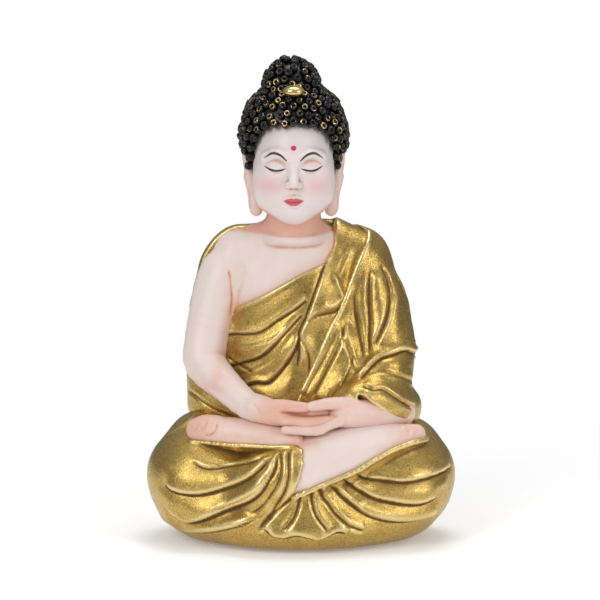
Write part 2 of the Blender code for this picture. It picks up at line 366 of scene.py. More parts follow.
def carve(sculpt, folds):
    """Raises and lowers a surface along its fold lines."""
    normal = sculpt.normals()
    points = sculpt.points
    rise = np.zeros(len(points))
    for f, line in zip(folds, lifted(sculpt.field, folds)):
        reach = 2.6 * max(f["left"][1], f["right"][1], f["groove"][1])
        inside = ((points > line.min(0) - reach) & (points < line.max(0) + reach)).all(1)
        which = np.nonzero(inside)[0]
        if not len(which):
            continue
        starts, along = line[:-1], line[1:] - line[:-1]
        length = np.maximum(np.linalg.norm(along, axis=1), 1e-6)
        run = np.concatenate([[0], np.cumsum(length)])
        for first in range(0, len(which), CARVE_BATCH):
            part = which[first:first + CARVE_BATCH]
            p = points[part]
            away = p[:, None, :] - starts[None]
            t = np.clip((away * along).sum(2) / length**2, 0, 1)
            gap = away - t[:, :, None] * along
            dist = np.square(gap).sum(2)
            k = dist.argmin(1)
            rows = np.arange(len(part))
            dist = np.sqrt(dist[rows, k])
            arc = run[k] + t[rows, k] * length[k]
            leftward = np.cross(normal[part], along[k] / length[k][:, None])
            side = (gap[rows, k] * leftward).sum(1)
            fade = smoothstep(0, f["ends"][0], arc) * smoothstep(0, f["ends"][1], run[-1] - arc)
            on_left = smoothstep(-0.35, 0.35, side)
            height = on_left * f["left"][0] * np.exp(-np.square(dist / f["left"][1]))
            height += (1 - on_left) * f["right"][0] * np.exp(-np.square(dist / f["right"][1]))
            height -= f["groove"][0] * np.exp(-np.square(dist / f["groove"][1]))
            rise[part] += height * fade
    sculpt.points = points + normal * rise[:, None]


# ================================================================ the statue's forms

def mirrored_knees():
    """Both knees' upper and lower masses."""
    forms = []
    for side in (-1, 1):
        forms.append(ball((side * 39.9, -4, 26.5), (24.6, 26.5, 21.8)))
        forms.append(ball((side * 37.0, -4, 16), (21.6, 26.0, 13.5)))
    return forms


LAP_BODY = union(
    8.0, *mirrored_knees(),
    ball((0, 17, 27), (44, 26.5, 24)),
    ball((0, -12, 11), (47, 31.5, 15)),
    ball((0, 2, 8), (53, 36.5, 11)),
    limb([(-40, -14, 27, 15.5), (-6, -26, 26, 12.5)]),
    limb([(40, -14, 24, 15.5), (4, -28, 18.5, 12.5)]),
    ball((-42, 4, 42.6), (10.6, 14, 8.8)), ball((45, 6, 40.2), (9.4, 13, 7.6)),
)
RIGHT_SHIN = union(
    2.5,
    limb([(-12, -27, 28, 13.5), (1, -29.4, 33, 12.8), (14, -28.6, 38.4, 11.2), (24, -26.5, 41.6, 9.6),
          (33, -23.8, 43.6, 7.8), (41, -21.2, 44.8, 5.6), (47, -18.9, 46.0, 3.9)]),
    ball((6, -25, 45), (10, 6, 4.5)),
)
RIGHT_TOES = [ball((41.4 + 2.5 * i, -23.8 + 1.9 * i, 48.3 - 0.9 * i), (1.55, 2.4, 2.2), (0, 12, 0))
              for i in range(4)]
RIGHT_LEG = union(0.5, RIGHT_SHIN, *RIGHT_TOES)
LEFT_FOOT = union(
    2.5,
    limb([(-42.5, -17.5, 47.0, 4.4), (-36, -20.5, 47.6, 5.6), (-24, -24, 46.6, 6.6),
          (-12, -27.5, 45.8, 6.0), (-3, -31, 44.6, 4.6)]),
    limb([(-43, -16.5, 49, 2.4), (-39.5, -18.5, 51, 2.3), (-34.5, -20.5, 51.6, 1.8)]),
)
UPPER_ROBE = union(
    5.0,
    ball((0, 12, 57), (37.5, 26.5, 27)),
    ball((-1, 12, 80), (35, 24.5, 27)),
    ball((-1, 11, 99), (32.5, 22, 25)),
    ball((-1, 15, 117), (24.5, 13.5, 11.5)),
    limb([(-25, 13, 115.6, 13), (0, 14, 116.5, 13), (12, 12, 118.2, 12.4), (23, 11, 113.8, 13)]),
    limb([(-29.5, 13.5, 108.8, 13.4), (-34, 12.5, 84, 13.4), (-34.3, 12, 54, 13.4)]),
)
SLEEVE_FORM = union(
    4.0,
    limb([(23, 10, 113.4, 12.9), (30, 7, 98, 13), (34, 3, 84, 12.7), (34.6, -0.5, 75, 12.4),
          (32, -8, 64, 12.4), (26, -16, 59, 11), (20, -20.5, 58, 8)]),
    limb([(41, -3, 55, 8.6), (36.5, -13, 56.5, 9.0), (29, -19, 58.5, 8.2), (22, -23.5, 60, 6.6)]),
    ball((37.4, 0, 53.5), (10.8, 16, 9.5)),
    limb([(18, -4, 80, 8.5), (17, -7, 70, 9), (14, -10, 60, 9)]),
)
CHEST_FORM = union(
    5.0,
    ball((-1, 9, 98), (31, 18.5, 26)),
    ball((-3, 11.5, 117), (20, 11.5, 11)),
    limb([(HEAD_X, 8.5, 121, 11), (-15, 9, 117.5, 9.3), (-26, 8, 112.5, 9.6)]),
)
ARM_FORM = limb([(-31.5, 6.5, 108.5, 10.6), (-34.2, 5, 102, 10.2), (-37, 2.4, 92, 9.4),
                 (-39.4, -0.6, 80, 8.8), (-39.4, -4, 72.5, 8.4), (-31, -14, 65.3, 6.7),
                 (-21.3, -24, 58.6, 5.6), (-14, -28.6, 57.4, 5.0)])
LEFT_FOREARM = limb([(40, -12, 54, 7.0), (33, -19.5, 54.6, 6.4), (26, -25, 55.3, 5.9),
                     (19, -28.5, 56, 5.6)])


def fingers(knuckles, tips, radius, sag):
    """Four fingers side by side, each bent a little at its middle."""
    made = []
    for i in range(4):
        start = np.array(knuckles[0]) + (np.array(knuckles[1]) - knuckles[0]) * i / 3
        end = np.array(tips[0]) + (np.array(tips[1]) - tips[0]) * i / 3
        middle = (start + end) / 2 + np.array(sag)
        quarter = (start + middle) / 2
        made.append(limb([(*start, radius * 1.12), (*quarter, radius), (*middle, radius * 1.06),
                          (*end, radius * 0.82)], blend=0.3))
    return made


RIGHT_HAND_FORM = union(
    1.2,
    limb([(-18, -26.5, 58.2, 5.4), (-12, -29.2, 56.8, 4.8), (-7, -30, 55.4, 3.6)]),
    ball((-9, -27.5, 55.5), (9.5, 6.5, 4.4), (0, 8, 14)),
    ball((1, -26.2, 55.6), (13, 5.2, 4.6)),
    ball((1, -29.4, 57.0), (11, 3.6, 3.2)),
    limb([(-14, -30.5, 59.2, 2.9), (-7.5, -32.6, 60.2, 2.35), (-2, -33.4, 59.8, 2.1),
          (2.0, -33.6, 59.6, 1.75)]),
    *fingers(((-7, -33.4, 54.2), (-5, -25.5, 53.6)), ((13.0, -33.2, 54.6), (12, -25.5, 53.4)), 1.95,
             (0, -0.8, -0.9)),
)
LEFT_HAND_FORM = union(
    1.2,
    LEFT_FOREARM,
    ball((17, -27.8, 56), (6.4, 6, 5.6)),
    ball((20.4, -28.6, 60.2), (3.4, 3.0, 2.8)),
    limb([(18.5, -29.8, 60.4, 2.7), (12, -32.2, 60.9, 2.35), (7, -33.4, 60.3, 2.05),
          (3.6, -33.8, 59.9, 1.7)]),
    *fingers(((15.5, -33.2, 54.0), (13, -25.5, 51.5)), ((-6.5, -35.0, 50.6), (-5, -27, 49.6)), 2.0,
             (1.5, -0.6, -2.0)),
)
NECK_Y = 6.5            # the middle of the neck, front to back


def neck_ring(z, radii, tube, droop):
    """A soft roll of skin round the neck, lower in front than behind."""
    def field(p):
        x, y = (p[:, 0] - HEAD_X) / radii[0], (p[:, 1] - NECK_Y) / radii[1]
        out = (np.sqrt(x * x + y * y) - 1) * min(radii)
        up = p[:, 2] - z - droop * y
        return np.sqrt(out * out + up * up) - tube
    return field


NECK_CORE = union(
    4.0,
    limb([(HEAD_X, 9.5, 108, 17), (HEAD_X, 8.5, 116, 14.2), (HEAD_X, 7, 123, 12.0),
          (HEAD_X, 5.5, 130, 11.0), (HEAD_X, 4, 140, 11.2)]),
    limb([(-26.5, 9, 117.0, 9.6), (-15, 9, 120.8, 9.2), (HEAD_X, 8.5, 123, 9.6), (8, 9, 120.4, 8.8),
          (19, 9, 115, 8.8)]),
)
NECK_FORM = union(0.9, NECK_CORE, neck_ring(129.2, (9.8, 9.4), 2.3, 0.9),
                  neck_ring(124.9, (11.4, 10.6), 2.6, 1.2))


def neck_seam(p):
    """Height of the crease between the two neck rolls, where the head's paint meets the chest's."""
    return 127.1 + 0.105 * (p[:, 1] - NECK_Y)


HAIR_BODY = union(
    2.5,
    ball((HEAD_X, 6, 166), (21.7, 21.3, 18.8)),
    ball((HEAD_X, 6.5, 174.8), (18.9, 18.8, 12.6)),
    ball((HEAD_X - 1.0, 7, 185.3), (11.4, 12.3, 12.2)),
)


def both(make):
    """A form on each side of the face; make takes -1 or 1."""
    return make(-1), make(1)


FACE_BASE = union(
    6.0,
    ball((HEAD_X, 4.0, 160), (16.8, 19.4, 19)),
    ball((HEAD_X, -1.6, 149.5), (15.4, 14.6, 15)),
    ball((HEAD_X, -6.8, 140.5), (10.4, 9.2, 8.2)),
    ball((HEAD_X, -10.6, 136.6), (5.4, 5.0, 4.2)),
    *both(lambda s: ball((HEAD_X + s * 8.0, -7.4, 147.5), (7.4, 7.2, 8.0))),
    *both(lambda s: ball((HEAD_X + s * 8.9, -3.0, 142.6), (5.4, 7.2, 6.4))),
)
EYE_X = 6.8             # half the gap between the eyes' middles
EYE_Z = 154.6
BROW = [(2.9, 157.6), (5.4, 159.9), (8.6, 160.6), (12.0, 158.4)]
LASH = [(3.1, 154.3), (4.9, 153.7), (7.0, 153.4), (9.2, 153.8), (11.6, 155.1)]
LOWER_LID = [(4.0, 153.3), (5.6, 152.6), (7.2, 152.4), (9.2, 152.9)]
LID_FOLD = [(3.6, 156.2), (5.4, 157.6), (7.4, 157.9), (9.4, 157.2), (11.0, 155.9)]
NOSE_BASE_Z = 146.2
BROW_MARK_Z = 162.5


def mirrored(half):
    """Rows on the statue's right that start with their distance from the face's middle and end on it,
    followed by their mirror images."""
    return [(HEAD_X - x, *rest) for x, *rest in half] + [(HEAD_X + x, *rest) for x, *rest in half[-2::-1]]


LIPS = mirrored([(1.3, 139.4), (2.8, 140.2), (4.2, 141.4), (2.3, 142.2), (0.9, 142.6), (0, 142.25)])
PARTING = mirrored([(4.4, 141.3, 0.05), (1.4, 140.85, 0.16), (0, 140.7, 0.18)])
MOUTH_FORM = union(
    0.2,
    limb(mirrored([(4.4, -15.6, 141.35, 0.7), (1.5, -17.3, 142.0, 1.15), (0, -17.6, 141.8, 1.05)]), steps=2),
    limb(mirrored([(3.5, -15.7, 140.5, 0.7), (0, -17.2, 139.85, 1.35)]), steps=2),
)


def face_form(p):
    """The whole head and neck, with brows, lids, nose and lips."""
    d = FACE_BASE(p)
    for s in (-1, 1):
        brow = limb([(HEAD_X + s * 2.4, -15.4, 158.2, 1.5), (HEAD_X + s * 6.6, -15.2, 160.2, 1.9),
                     (HEAD_X + s * 11.6, -11.6, 159.0, 1.7)])
        d = smin(d, brow(p), 2.6)
        d = smax(d, -ball((HEAD_X + s * EYE_X, -18.6, 155.6), (4.6, 3.3, 2.9))(p), 2.2)
        d = smin(d, ball((HEAD_X + s * EYE_X, -11.6, EYE_Z - 0.3), (4.5, 4.3, 3.7))(p), 0.8)
    nose = limb([(HEAD_X, -14.6, 158.6, 1.5), (HEAD_X, -16.9, 153.2, 1.55), (HEAD_X, -19.4, 148.6, 2.0)])
    d = smin(d, nose(p), 1.8)
    for s in (-1, 1):
        d = smin(d, ball((HEAD_X + s * 2.0, -17.5, 147.7), (1.45, 1.9, 1.3))(p), 0.9)
    d = smin(d, MOUTH_FORM(p), 0.9)
    for s in (-1, 1):
        d = smax(d, -ball((HEAD_X + s * 1.25, -18.2, NOSE_BASE_Z - 0.2), (0.65, 1.0, 0.6))(p), 0.5)
    return smin(d, NECK_FORM(p), 3.0)


def ear_form(side):
    """A long-lobed ear; side is -1 or 1."""
    x = HEAD_X
    body = union(
        2.0,
        ball((x + side * 18.9, 5.0, 154.5), (2.2, 4.8, 6.8), (0, side * 9, 0)),
        limb([(x + side * 17.9, 4.0, 149, 2.6), (x + side * 16.8, 3.0, 143, 2.2),
              (x + side * 15.8, 2.2, 138.0, 2.6), (x + side * 15.4, 2.0, 135.6, 2.5)]),
    )
    dips = union(
        0.6,
        ball((x + side * 21.3, 3.4, 154.6), (1.6, 2.7, 4.7), (0, side * 9, 0)),
        ball((x + side * 19.1, 1.4, 141.5), (1.2, 0.9, 3.6)),
    )
    return less(0.9, body, dips)


# ================================================================ where cloth ends

NECKLINE = [(-70, 150), (-70, 62), (-34.5, 66), (-31.2, 86), (-29, 92.5), (-25.6, 96.8), (-15, 101.8),
            (-0.5, 110.2), (11.5, 115.6), (13.5, 121), (14.6, 131), (15, 150)]
SHOULDER_EDGE = [(60, 150), (27.4, 150), (27.4, 127), (26.4, 121), (22.4, 112), (17, 98), (11, 86),
                 (4, 70.5), (-0.5, 61.5), (-6, 48), (-6, 30), (80, 30), (80, 150)]
BACK_EDGE = [(60, 150), (23, 150), (20.5, 127), (23, 100), (26, 70), (28, 30), (80, 30), (80, 150)]
BARE_LEGS = [(-56, 66), (-51, 47), (-47, 43.2), (-41, 43.6), (-23.5, 43.9), (-10.5, 43.9), (-3, 44.6),
             (0.9, 43.4), (0.6, 38), (-0.4, 32.5), (-2.2, 28), (-5.2, 24.0), (3, 27.2), (9.5, 30.0),
             (15.5, 32.2), (22.5, 35), (29.5, 38.6), (37, 42), (45, 44.2), (52, 44.6), (57, 66)]
CUFF_LINE = ((24.4, 61.5), (46.0, 47.0))    # the cuff's front edge, from x and z to x and z
SLEEVE_END_X = 23.0                         # the open end of the sleeve lies beyond this x


def neck_opening(p):
    """Negative where the robe leaves the neck, right shoulder and arm bare."""
    far = 9.0 - 0.10 * np.clip(112 - p[:, 2], 0, 60)
    return smax(polygon(NECKLINE)(p), p[:, 1] - far, 1.5)


def sleeve_side(p):
    """Negative on the sleeve's side of the cloth edge that crosses the left shoulder, front and back."""
    front, back = polygon(SHOULDER_EDGE)(p), polygon(BACK_EDGE)(p)
    t = smoothstep(4, 20, p[:, 1])
    return front * (1 - t) + back * t


def below_cuff(p):
    """Negative below the cuff's edge, which rises towards the back."""
    (x0, z0), (x1, z1) = CUFF_LINE
    line = z0 + (p[:, 0] - x0) * (z1 - z0) / (x1 - x0)
    return (p[:, 2] - line + 0.55 * np.minimum(p[:, 1] + 24, 14)) * 0.78


def lap_field(p):
    """The cloth over the legs, with the rebate for the plate cut into its underside."""
    bare = polygon(BARE_LEGS)(p)
    d = LAP_BODY(p) + 0.5
    d = smin(d, smax(RIGHT_LEG(p) - 1.3, -bare, 0.5), 1.6 + 6 * smoothstep(1.5, 10, bare))
    d = smin(d, smax(LEFT_FOOT(p) - 0.9, -bare, 0.4), 0.9)
    d = smax(d, RIM_Z - p[:, 2], 0.8)
    recess = (np.sqrt(np.square(p[:, 0] / RECESS[0]) + np.square(p[:, 1] / RECESS[1])) - 1) * RECESS[1]
    return smax(d, -smax(recess, p[:, 2] - PLATE_TOP, 0.2), 0.4)


def torso_field(p):
    """The cloth round the torso, up to the neck opening."""
    return smax(UPPER_ROBE(p), -neck_opening(p), 0.9)


def sleeve_field(p):
    """The cloth over the left shoulder and arm, down to the open cuff."""
    d = smin(UPPER_ROBE(p) - 0.5, SLEEVE_FORM(p), 5.0)
    d = smax(d, sleeve_side(p), 0.7)
    open_end = smax(smax(below_cuff(p), p[:, 1] + 6, 2.0), SLEEVE_END_X - p[:, 0], 2.0)
    d = smax(d, -open_end, 0.7)
    return smax(d, 45.0 - p[:, 2], 0.5)


def chest_field(p):
    """The bare chest, right arm and right hand, up to the neck crease."""
    d = smin(CHEST_FORM(p), ARM_FORM(p), 2.6)
    d = smin(d, smax(NECK_FORM(p), p[:, 2] - neck_seam(p), 0.8), 2.5)
    return smin(d, RIGHT_HAND_FORM(p), 1.2)


def head_field(p):
    """The head and upper neck, down to the crease where the chest's paint begins."""
    return smax(face_form(p), neck_seam(p) - 0.4 - p[:, 2], 0.6)


# ================================================================ fold lines, as x and z from the front

def crease(points, depth, width, lips, reach, ends=(6, 6)):
    """A furrow with a soft ridge on both sides."""
    groove = (0.75 * depth + 0.6 * lips, width + 0.3)
    return fold(points, (lips, reach * 1.7), (lips * 0.6, reach * 1.35), groove, ends)


def pleat(points, height, reach, furrow, ends=(7, 7)):
    """A fold that stands high on one side of its line and drops to a furrow on the other."""
    high, low = (height * 1.15, reach * 1.45), (-0.3 * height, reach * 1.1)
    return fold(points, high, low, (furrow * 0.75, 0.85), ends)


def ridge(points, height, width, ends=(7, 7)):
    """A rounded roll of cloth."""
    return fold(points, (height, width), (height, width), (0, 1), ends)


LAP_FOLDS = [
    pleat([(-46, 37.5), (-40, 34.5), (-35, 34), (-26.5, 35.5), (-17, 38.5), (-12, 42)], 0.7, 2.4, 0.4),
    pleat([(-56.5, 27.5), (-51.5, 24), (-41, 23.5), (-28, 27.5), (-18.5, 33.5), (-10.5, 41)],
          1.3, 3.2, 0.8),
    pleat([(-56.5, 17), (-50.5, 13), (-44.5, 11.5), (-33, 16), (-18.5, 24), (-11.5, 34.5), (-9.5, 42)],
          1.5, 3.6, 0.9),
    crease([(-37, 16), (-24.5, 22), (-15.5, 29), (-12.5, 36)], 0.5, 0.6, 0.5, 1.8),
    pleat([(-60, 9), (-50, 6.5), (-38, 8), (-25, 12), (-17, 16)], 1.0, 2.6, 0.5),
    crease([(-5, 43), (-5, 38.5), (-5, 32.5), (-6.5, 26.5), (-9.5, 21), (-13, 16), (-18.5, 11)],
           0.8, 0.6, 0.7, 1.7, (2, 5)),
    crease([(-8.5, 42.5), (-8, 35.5), (-10, 28.5), (-15.5, 20.5), (-21.5, 16)],
           0.6, 0.55, 0.6, 1.5, (2, 6)),
    ridge([(1.4, 43), (0.9, 38), (-0.1, 32.5), (-1.6, 28.5), (-4.5, 24.5)], 0.5, 0.9, (2, 2)),
    crease([(0, 27), (-7, 21), (-14, 14), (-18.5, 9.5)], 0.8, 0.6, 0.7, 1.8, (3, 4)),
    ridge([(-47, 43), (-41, 43.4), (-23.5, 43.6), (-10.5, 43.7), (-3, 44.2)], 0.7, 1.0, (3, 2)),
    ridge([(-56.5, 42), (-50.5, 46), (-42.5, 51.5)], 0.7, 1.6, (4, 4)),
    ridge([(-4.5, 23.5), (3, 26.7), (9.5, 29.6), (15.5, 31.8), (22.5, 34.4), (29.5, 38.1), (37, 41.5),
           (45, 43.6), (52, 44)], 0.8, 1.1, (3, 4)),
    pleat([(21.5, 34), (26.5, 30.5), (33, 29.5), (42, 28.5), (54, 30), (62, 31.5)], 1.2, 3.0, 0.8),
    pleat([(16.5, 32.5), (20, 28.5), (23.5, 26), (28.5, 23), (35, 21), (47, 19), (56.5, 21)],
          1.3, 2.8, 0.9),
    crease([(7, 28.5), (9, 24), (11, 21.5), (13.5, 18), (16.5, 15), (19.5, 12.5), (23.5, 10.5), (26, 10)],
           0.9, 0.6, 0.8, 1.7, (2, 2)),
    crease([(4.5, 27), (4.5, 23), (5.5, 18.5), (7.5, 15), (11, 10.5)], 0.9, 0.6, 0.8, 1.6, (2, 2)),
    crease([(0, 26.5), (-1, 21), (-3, 15.5), (-7, 10.5)], 0.8, 0.6, 0.7, 1.7, (2, 2)),
    crease([(13, 28.5), (17.5, 23), (22, 19.5), (24.5, 17.5)], 0.5, 0.55, 0.6, 1.5, (3, 3)),
    pleat([(11, 30), (18, 23), (28, 15.5), (42, 12.0), (57, 13.5)], 0.9, 2.6, 0.55),
    fold([(-16, 12), (-13.8, 11), (-11.5, 8.5), (-7, 7.8), (-2, 9), (3, 8), (7, 7), (11, 8.5),
          (15, 10.2), (19, 9)], (1.3, 3.6), (-0.4, 1.6), (0.4, 0.5), (3, 3)),
]
LAP_SWELLS = [
    ridge([(-60, 22), (-48, 18), (-36, 18), (-22, 25), (-12, 35)], 1.0, 3.6),
    ridge([(-57, 12), (-45, 8.5), (-30, 11), (-18, 17)], 0.9, 3.2),
    ridge([(-58, 33), (-46, 29.5), (-32, 31), (-20, 35)], 0.7, 3.4),
    ridge([(61, 25.5), (46, 24.5), (33, 25.8), (22, 31)], 0.9, 3.0),
    ridge([(57, 15), (42, 15), (30, 18), (20, 25)], 0.9, 3.0),
    ridge([(60, 35), (50, 34), (38, 33.5), (27, 34)], 0.6, 3.0),
]
LAP_BACK_FOLDS = seen_round([
    pleat([(112, 38), (128, 30), (146, 26), (164, 28)], 1.1, 3.8, 0.3),
    pleat([(100, 25), (118, 17), (140, 14), (168, 17), (190, 21)], 1.2, 3.8, 0.3),
    pleat([(248, 38), (232, 30), (214, 27), (196, 30)], 1.1, 3.8, 0.3),
    pleat([(262, 24), (244, 16), (222, 13), (200, 15)], 1.2, 3.8, 0.3),
    crease([(150, 40), (165, 36), (182, 35), (200, 37), (212, 40)], 0.4, 1.2, 0.6, 3.2),
    crease([(80, 20), (94, 24), (108, 31), (120, 41)], 0.4, 1.0, 0.5, 2.8),
    crease([(280, 20), (266, 24), (252, 31), (240, 41)], 0.4, 1.0, 0.5, 2.8),
    ridge([(118, 33), (142, 22), (170, 22), (195, 25)], 0.8, 4.5),
    ridge([(242, 33), (222, 21), (198, 20)], 0.8, 4.5),
])
TORSO_FOLDS = [
    pleat([(-33, 83.5), (-28, 85), (-17.5, 86.5), (-10, 91.5), (-2, 96.8), (3, 101)],
          0.75, 1.7, 0.7, (2, 3)),
    pleat([(-31, 71), (-23.5, 73.5), (-15, 77.5), (-4.5, 89), (1, 95)], 0.75, 1.7, 0.7, (2, 3)),
    crease([(-31.5, 76), (-25, 72), (-19, 69.5)], 0.5, 0.5, 0.4, 1.1, (2, 3)),
    pleat([(-25, 63.5), (-18.5, 65.5), (-12.5, 66.5), (-4.5, 76), (0, 86)], 0.85, 1.7, 0.8, (3, 3)),
    crease([(-28, 80), (-18, 81.5), (-9, 87), (-1, 95)], 0.3, 0.45, 0.3, 1.0, (4, 3)),
    crease([(-29, 67), (-20, 70.5), (-11, 76.5), (-3, 87)], 0.3, 0.45, 0.3, 1.0, (4, 3)),
    fold([(14, 132.5), (13.5, 123), (11, 116.5), (8, 108.5), (5, 100), (2, 92), (-0.5, 86), (-0.5, 78),
          (-1.5, 70)], (1.3, 4.5), (-0.3, 1.5), (0.5, 0.6), (2, 8)),
    crease([(1, 90.5), (6.5, 93.5), (14, 95), (17, 98)], 0.6, 0.6, 0.6, 1.6, (3, 3)),
    crease([(-0.5, 85.5), (3, 78), (3.5, 72), (3, 67.5), (-0.5, 62.5)], 0.6, 0.6, 0.6, 1.6, (3, 3)),
    ridge([(12.5, 110.5), (16, 103.5), (16.5, 100.5), (12.5, 97.5), (7, 98)], 0.8, 1.3, (3, 3)),
    crease([(19, 122), (17.5, 116), (13.5, 107)], 0.3, 0.6, 0.4, 1.8, (4, 4)),
    ridge([(-34.5, 66), (-31.2, 86), (-29, 92), (-25.6, 96), (-15, 101), (-0.5, 109.2), (11.5, 114.8)],
          0.45, 0.9, (2, 3)),
]
TORSO_SWELLS = [
    ridge([(-30, 79.5), (-20, 80), (-11, 84), (-3, 91)], 0.7, 2.6),
    ridge([(-29, 92), (-18, 93), (-8, 98), (2, 104)], 0.5, 3.4),
    ridge([(-24, 68.5), (-14, 72), (-6, 80), (-2, 86)], 0.7, 2.6),
    ridge([(19.5, 124), (17, 114), (12, 103), (8, 94)], 0.7, 2.6),
    ridge([(13, 90), (9, 80), (4, 68)], 0.8, 2.6),
    ridge([(-10, 62), (-5, 66), (-2, 74)], 0.6, 2.2),
]
TORSO_BACK_FOLDS = seen_round([
    pleat([(140, 118), (165, 110), (200, 96), (230, 84), (252, 76)], 2.0, 4.6, 0.3),
    pleat([(150, 104), (175, 92), (205, 79), (235, 67)], 1.9, 4.4, 0.3),
    pleat([(158, 88), (180, 76), (205, 66), (228, 57)], 1.7, 4.2, 0.3),
    crease([(160, 70), (182, 61), (202, 55)], 0.4, 1.1, 0.5, 3.0),
    crease([(172, 122), (200, 115), (228, 103), (248, 94)], 0.4, 1.1, 0.5, 3.0),
    ridge([(146, 111), (172, 101), (204, 88), (236, 76)], 0.9, 4.6),
    ridge([(155, 95), (180, 84), (206, 73), (230, 63)], 0.8, 4.4),
    crease([(250, 112), (262, 98), (268, 82), (270, 66)], 0.4, 0.7, 0.5, 2.4),
    crease([(276, 92), (279, 78), (284, 64), (292, 55)], 0.5, 0.6, 0.5, 1.8),
    crease([(268, 60), (277, 58), (287, 52), (296, 49)], 0.5, 0.6, 0.5, 1.8),
])
SLEEVE_FOLDS = [
    fold([(27.5, 127), (27, 122.5), (22.5, 112.5), (17, 98), (11, 86), (4, 70.5), (-0.5, 61.5)],
         (0.9, 2.8), (0.4, 1.0), (0, 1), (2, 2)),
    crease([(28.5, 112.5), (28, 100), (28.5, 87.5), (28.5, 77)], 0.9, 0.8, 0.9, 2.4, (5, 4)),
    crease([(33, 114), (36.5, 103), (35.5, 93.5), (32.5, 85.5), (30, 79.5)], 0.8, 0.7, 0.9, 2.2, (5, 4)),
    crease([(38.5, 103), (35.5, 92), (31, 81.5)], 0.4, 0.6, 0.5, 1.6, (4, 4)),
    crease([(22, 104), (22.5, 94), (24.5, 84), (26, 76)], 0.6, 0.6, 0.6, 2.0, (5, 4)),
    crease([(16.5, 92), (18, 84), (21, 76), (22.5, 70)], 0.5, 0.6, 0.5, 1.8, (5, 4)),
    pleat([(23.5, 68.5), (28, 73), (32.5, 76.5), (37.5, 78), (43, 79), (47, 77), (49, 79)],
          1.3, 2.6, 0.8, (4, 2)),
    crease([(22, 78), (20, 72), (16.5, 66), (12, 59.5)], 0.5, 0.5, 0.5, 1.3, (4, 3)),
    crease([(19, 92), (15.5, 81), (10, 70.5), (4.5, 60)], 0.6, 0.5, 0.6, 1.3, (5, 3)),
    crease([(13, 83), (9, 75), (4, 66), (1, 60)], 0.4, 0.45, 0.4, 1.1, (4, 3)),
    crease([(24, 67.5), (29, 65.5), (33.5, 65), (40.5, 60), (47, 55.5)], 0.8, 0.7, 0.8, 2.2, (3, 3)),
    crease([(24, 64.5), (31, 58), (39.5, 52.5), (48.5, 48)], 0.5, 0.6, 0.6, 1.8, (3, 3)),
    ridge([(23.5, 63), (27, 59.5), (31, 56), (38.5, 51.5), (45, 47.5)], 0.6, 0.9, (2, 2)),
    crease([(26, 71), (33, 71.5), (40, 69.5), (46, 66)], 0.4, 0.6, 0.6, 1.8, (3, 3)),
]
SLEEVE_BACK_FOLDS = seen_round([
    pleat([(80, 110), (86, 99), (89, 89), (88, 79)], 0.7, 2.6, 0.5),
    pleat([(98, 112), (104, 98), (106, 84), (102, 70)], 0.9, 3.0, 0.5),
    crease([(122, 108), (126, 94), (124, 78), (116, 62)], 0.5, 0.7, 0.5, 2.4),
    crease([(84, 72), (96, 66), (110, 63), (126, 64)], 0.6, 0.7, 0.6, 2.2),
    crease([(86, 58), (98, 54), (112, 53), (126, 55)], 0.4, 0.7, 0.5, 2.0),
])
SLEEVE_SWELLS = [
    ridge([(31, 114), (32.3, 102), (32, 91), (29.5, 79)], 1.0, 2.8),
    ridge([(25.5, 110), (25, 98), (26.5, 86), (27.5, 76)], 0.8, 2.4),
    ridge([(38, 112), (40.5, 100), (38.5, 88), (35, 80)], 0.7, 3.0),
    ridge([(27, 66), (35, 60.5), (44, 54.5)], 0.8, 2.6),
    ridge([(28, 74), (36, 75), (44, 73)], 0.7, 2.4),
]
SKIN_CREASES = [
    crease([(-29.9, 113), (-28.7, 106), (-28.3, 99), (-29.2, 90)], 0.7, 0.7, 0.3, 2.0, (3, 4)),
    crease([(-20.5, 61.5), (-17.5, 58.5), (-16.2, 55)], 0.25, 0.5, 0.15, 1.2, (2, 2)),
]
FOOT_CREASES = [
    crease([(-39.8, 46.4), (-37.0, 46.9), (-34.9, 49.0), (-34.2, 52)], 0.7, 0.5, 0.25, 1.1, (1.5, 1.5)),
    crease([(-41.6, 49.2), (-39.6, 49.9), (-38.2, 52.2)], 0.5, 0.4, 0.15, 0.9, (1, 1)),
    crease([(-44.4, 47.6), (-43.0, 48.6), (-42.2, 51)], 0.4, 0.4, 0.15, 0.9, (1, 1)),
]
LEG_CREASES = [
    crease([(43.4, 46.2), (43.9, 48.0), (45.2, 49.4)], 0.3, 0.4, 0.1, 0.9, (1, 1)),
    crease([(46.6, 45.8), (47.0, 47.4), (48.2, 48.4)], 0.3, 0.4, 0.1, 0.9, (1, 1)),
]


# ================================================================ painting

FAR = 1e3               # a distance that stands for "no stroke here"


def near_line(points, line, share):
    """Signed distance to a brush stroke of x, z and width, seen from the front; share of the width is the
    stroke's reach to either side."""
    path = smooth_path(line, 6)
    best = np.full(len(points), FAR)
    q = points[:, [0, 2]]
    for a, b in zip(path, path[1:]):
        along = b[:2] - a[:2]
        t = np.clip((q - a[:2]) @ along / max(along @ along, 1e-9), 0, 1)
        half = (a[2] + t * (b[2] - a[2])) * share
        best = np.minimum(best, np.linalg.norm(q - a[:2] - t[:, None] * along, axis=1) - half)
    return np.where(points[:, 1] < -5, best, FAR)


def glow(points, centre, radii):
    """A soft spot, 1 at its centre."""
    return np.exp(-np.square((points - np.array(centre)) / np.array(radii)).sum(1))


def shaded(sculpt, fine=3, broad=26):
    """Stores how hollow the surface is at two sizes."""
    sculpt.paint["hollow"] = sculpt.hollowness(fine)
    sculpt.paint["broad"] = sculpt.hollowness(broad)
    return sculpt


# ================================================================ node materials

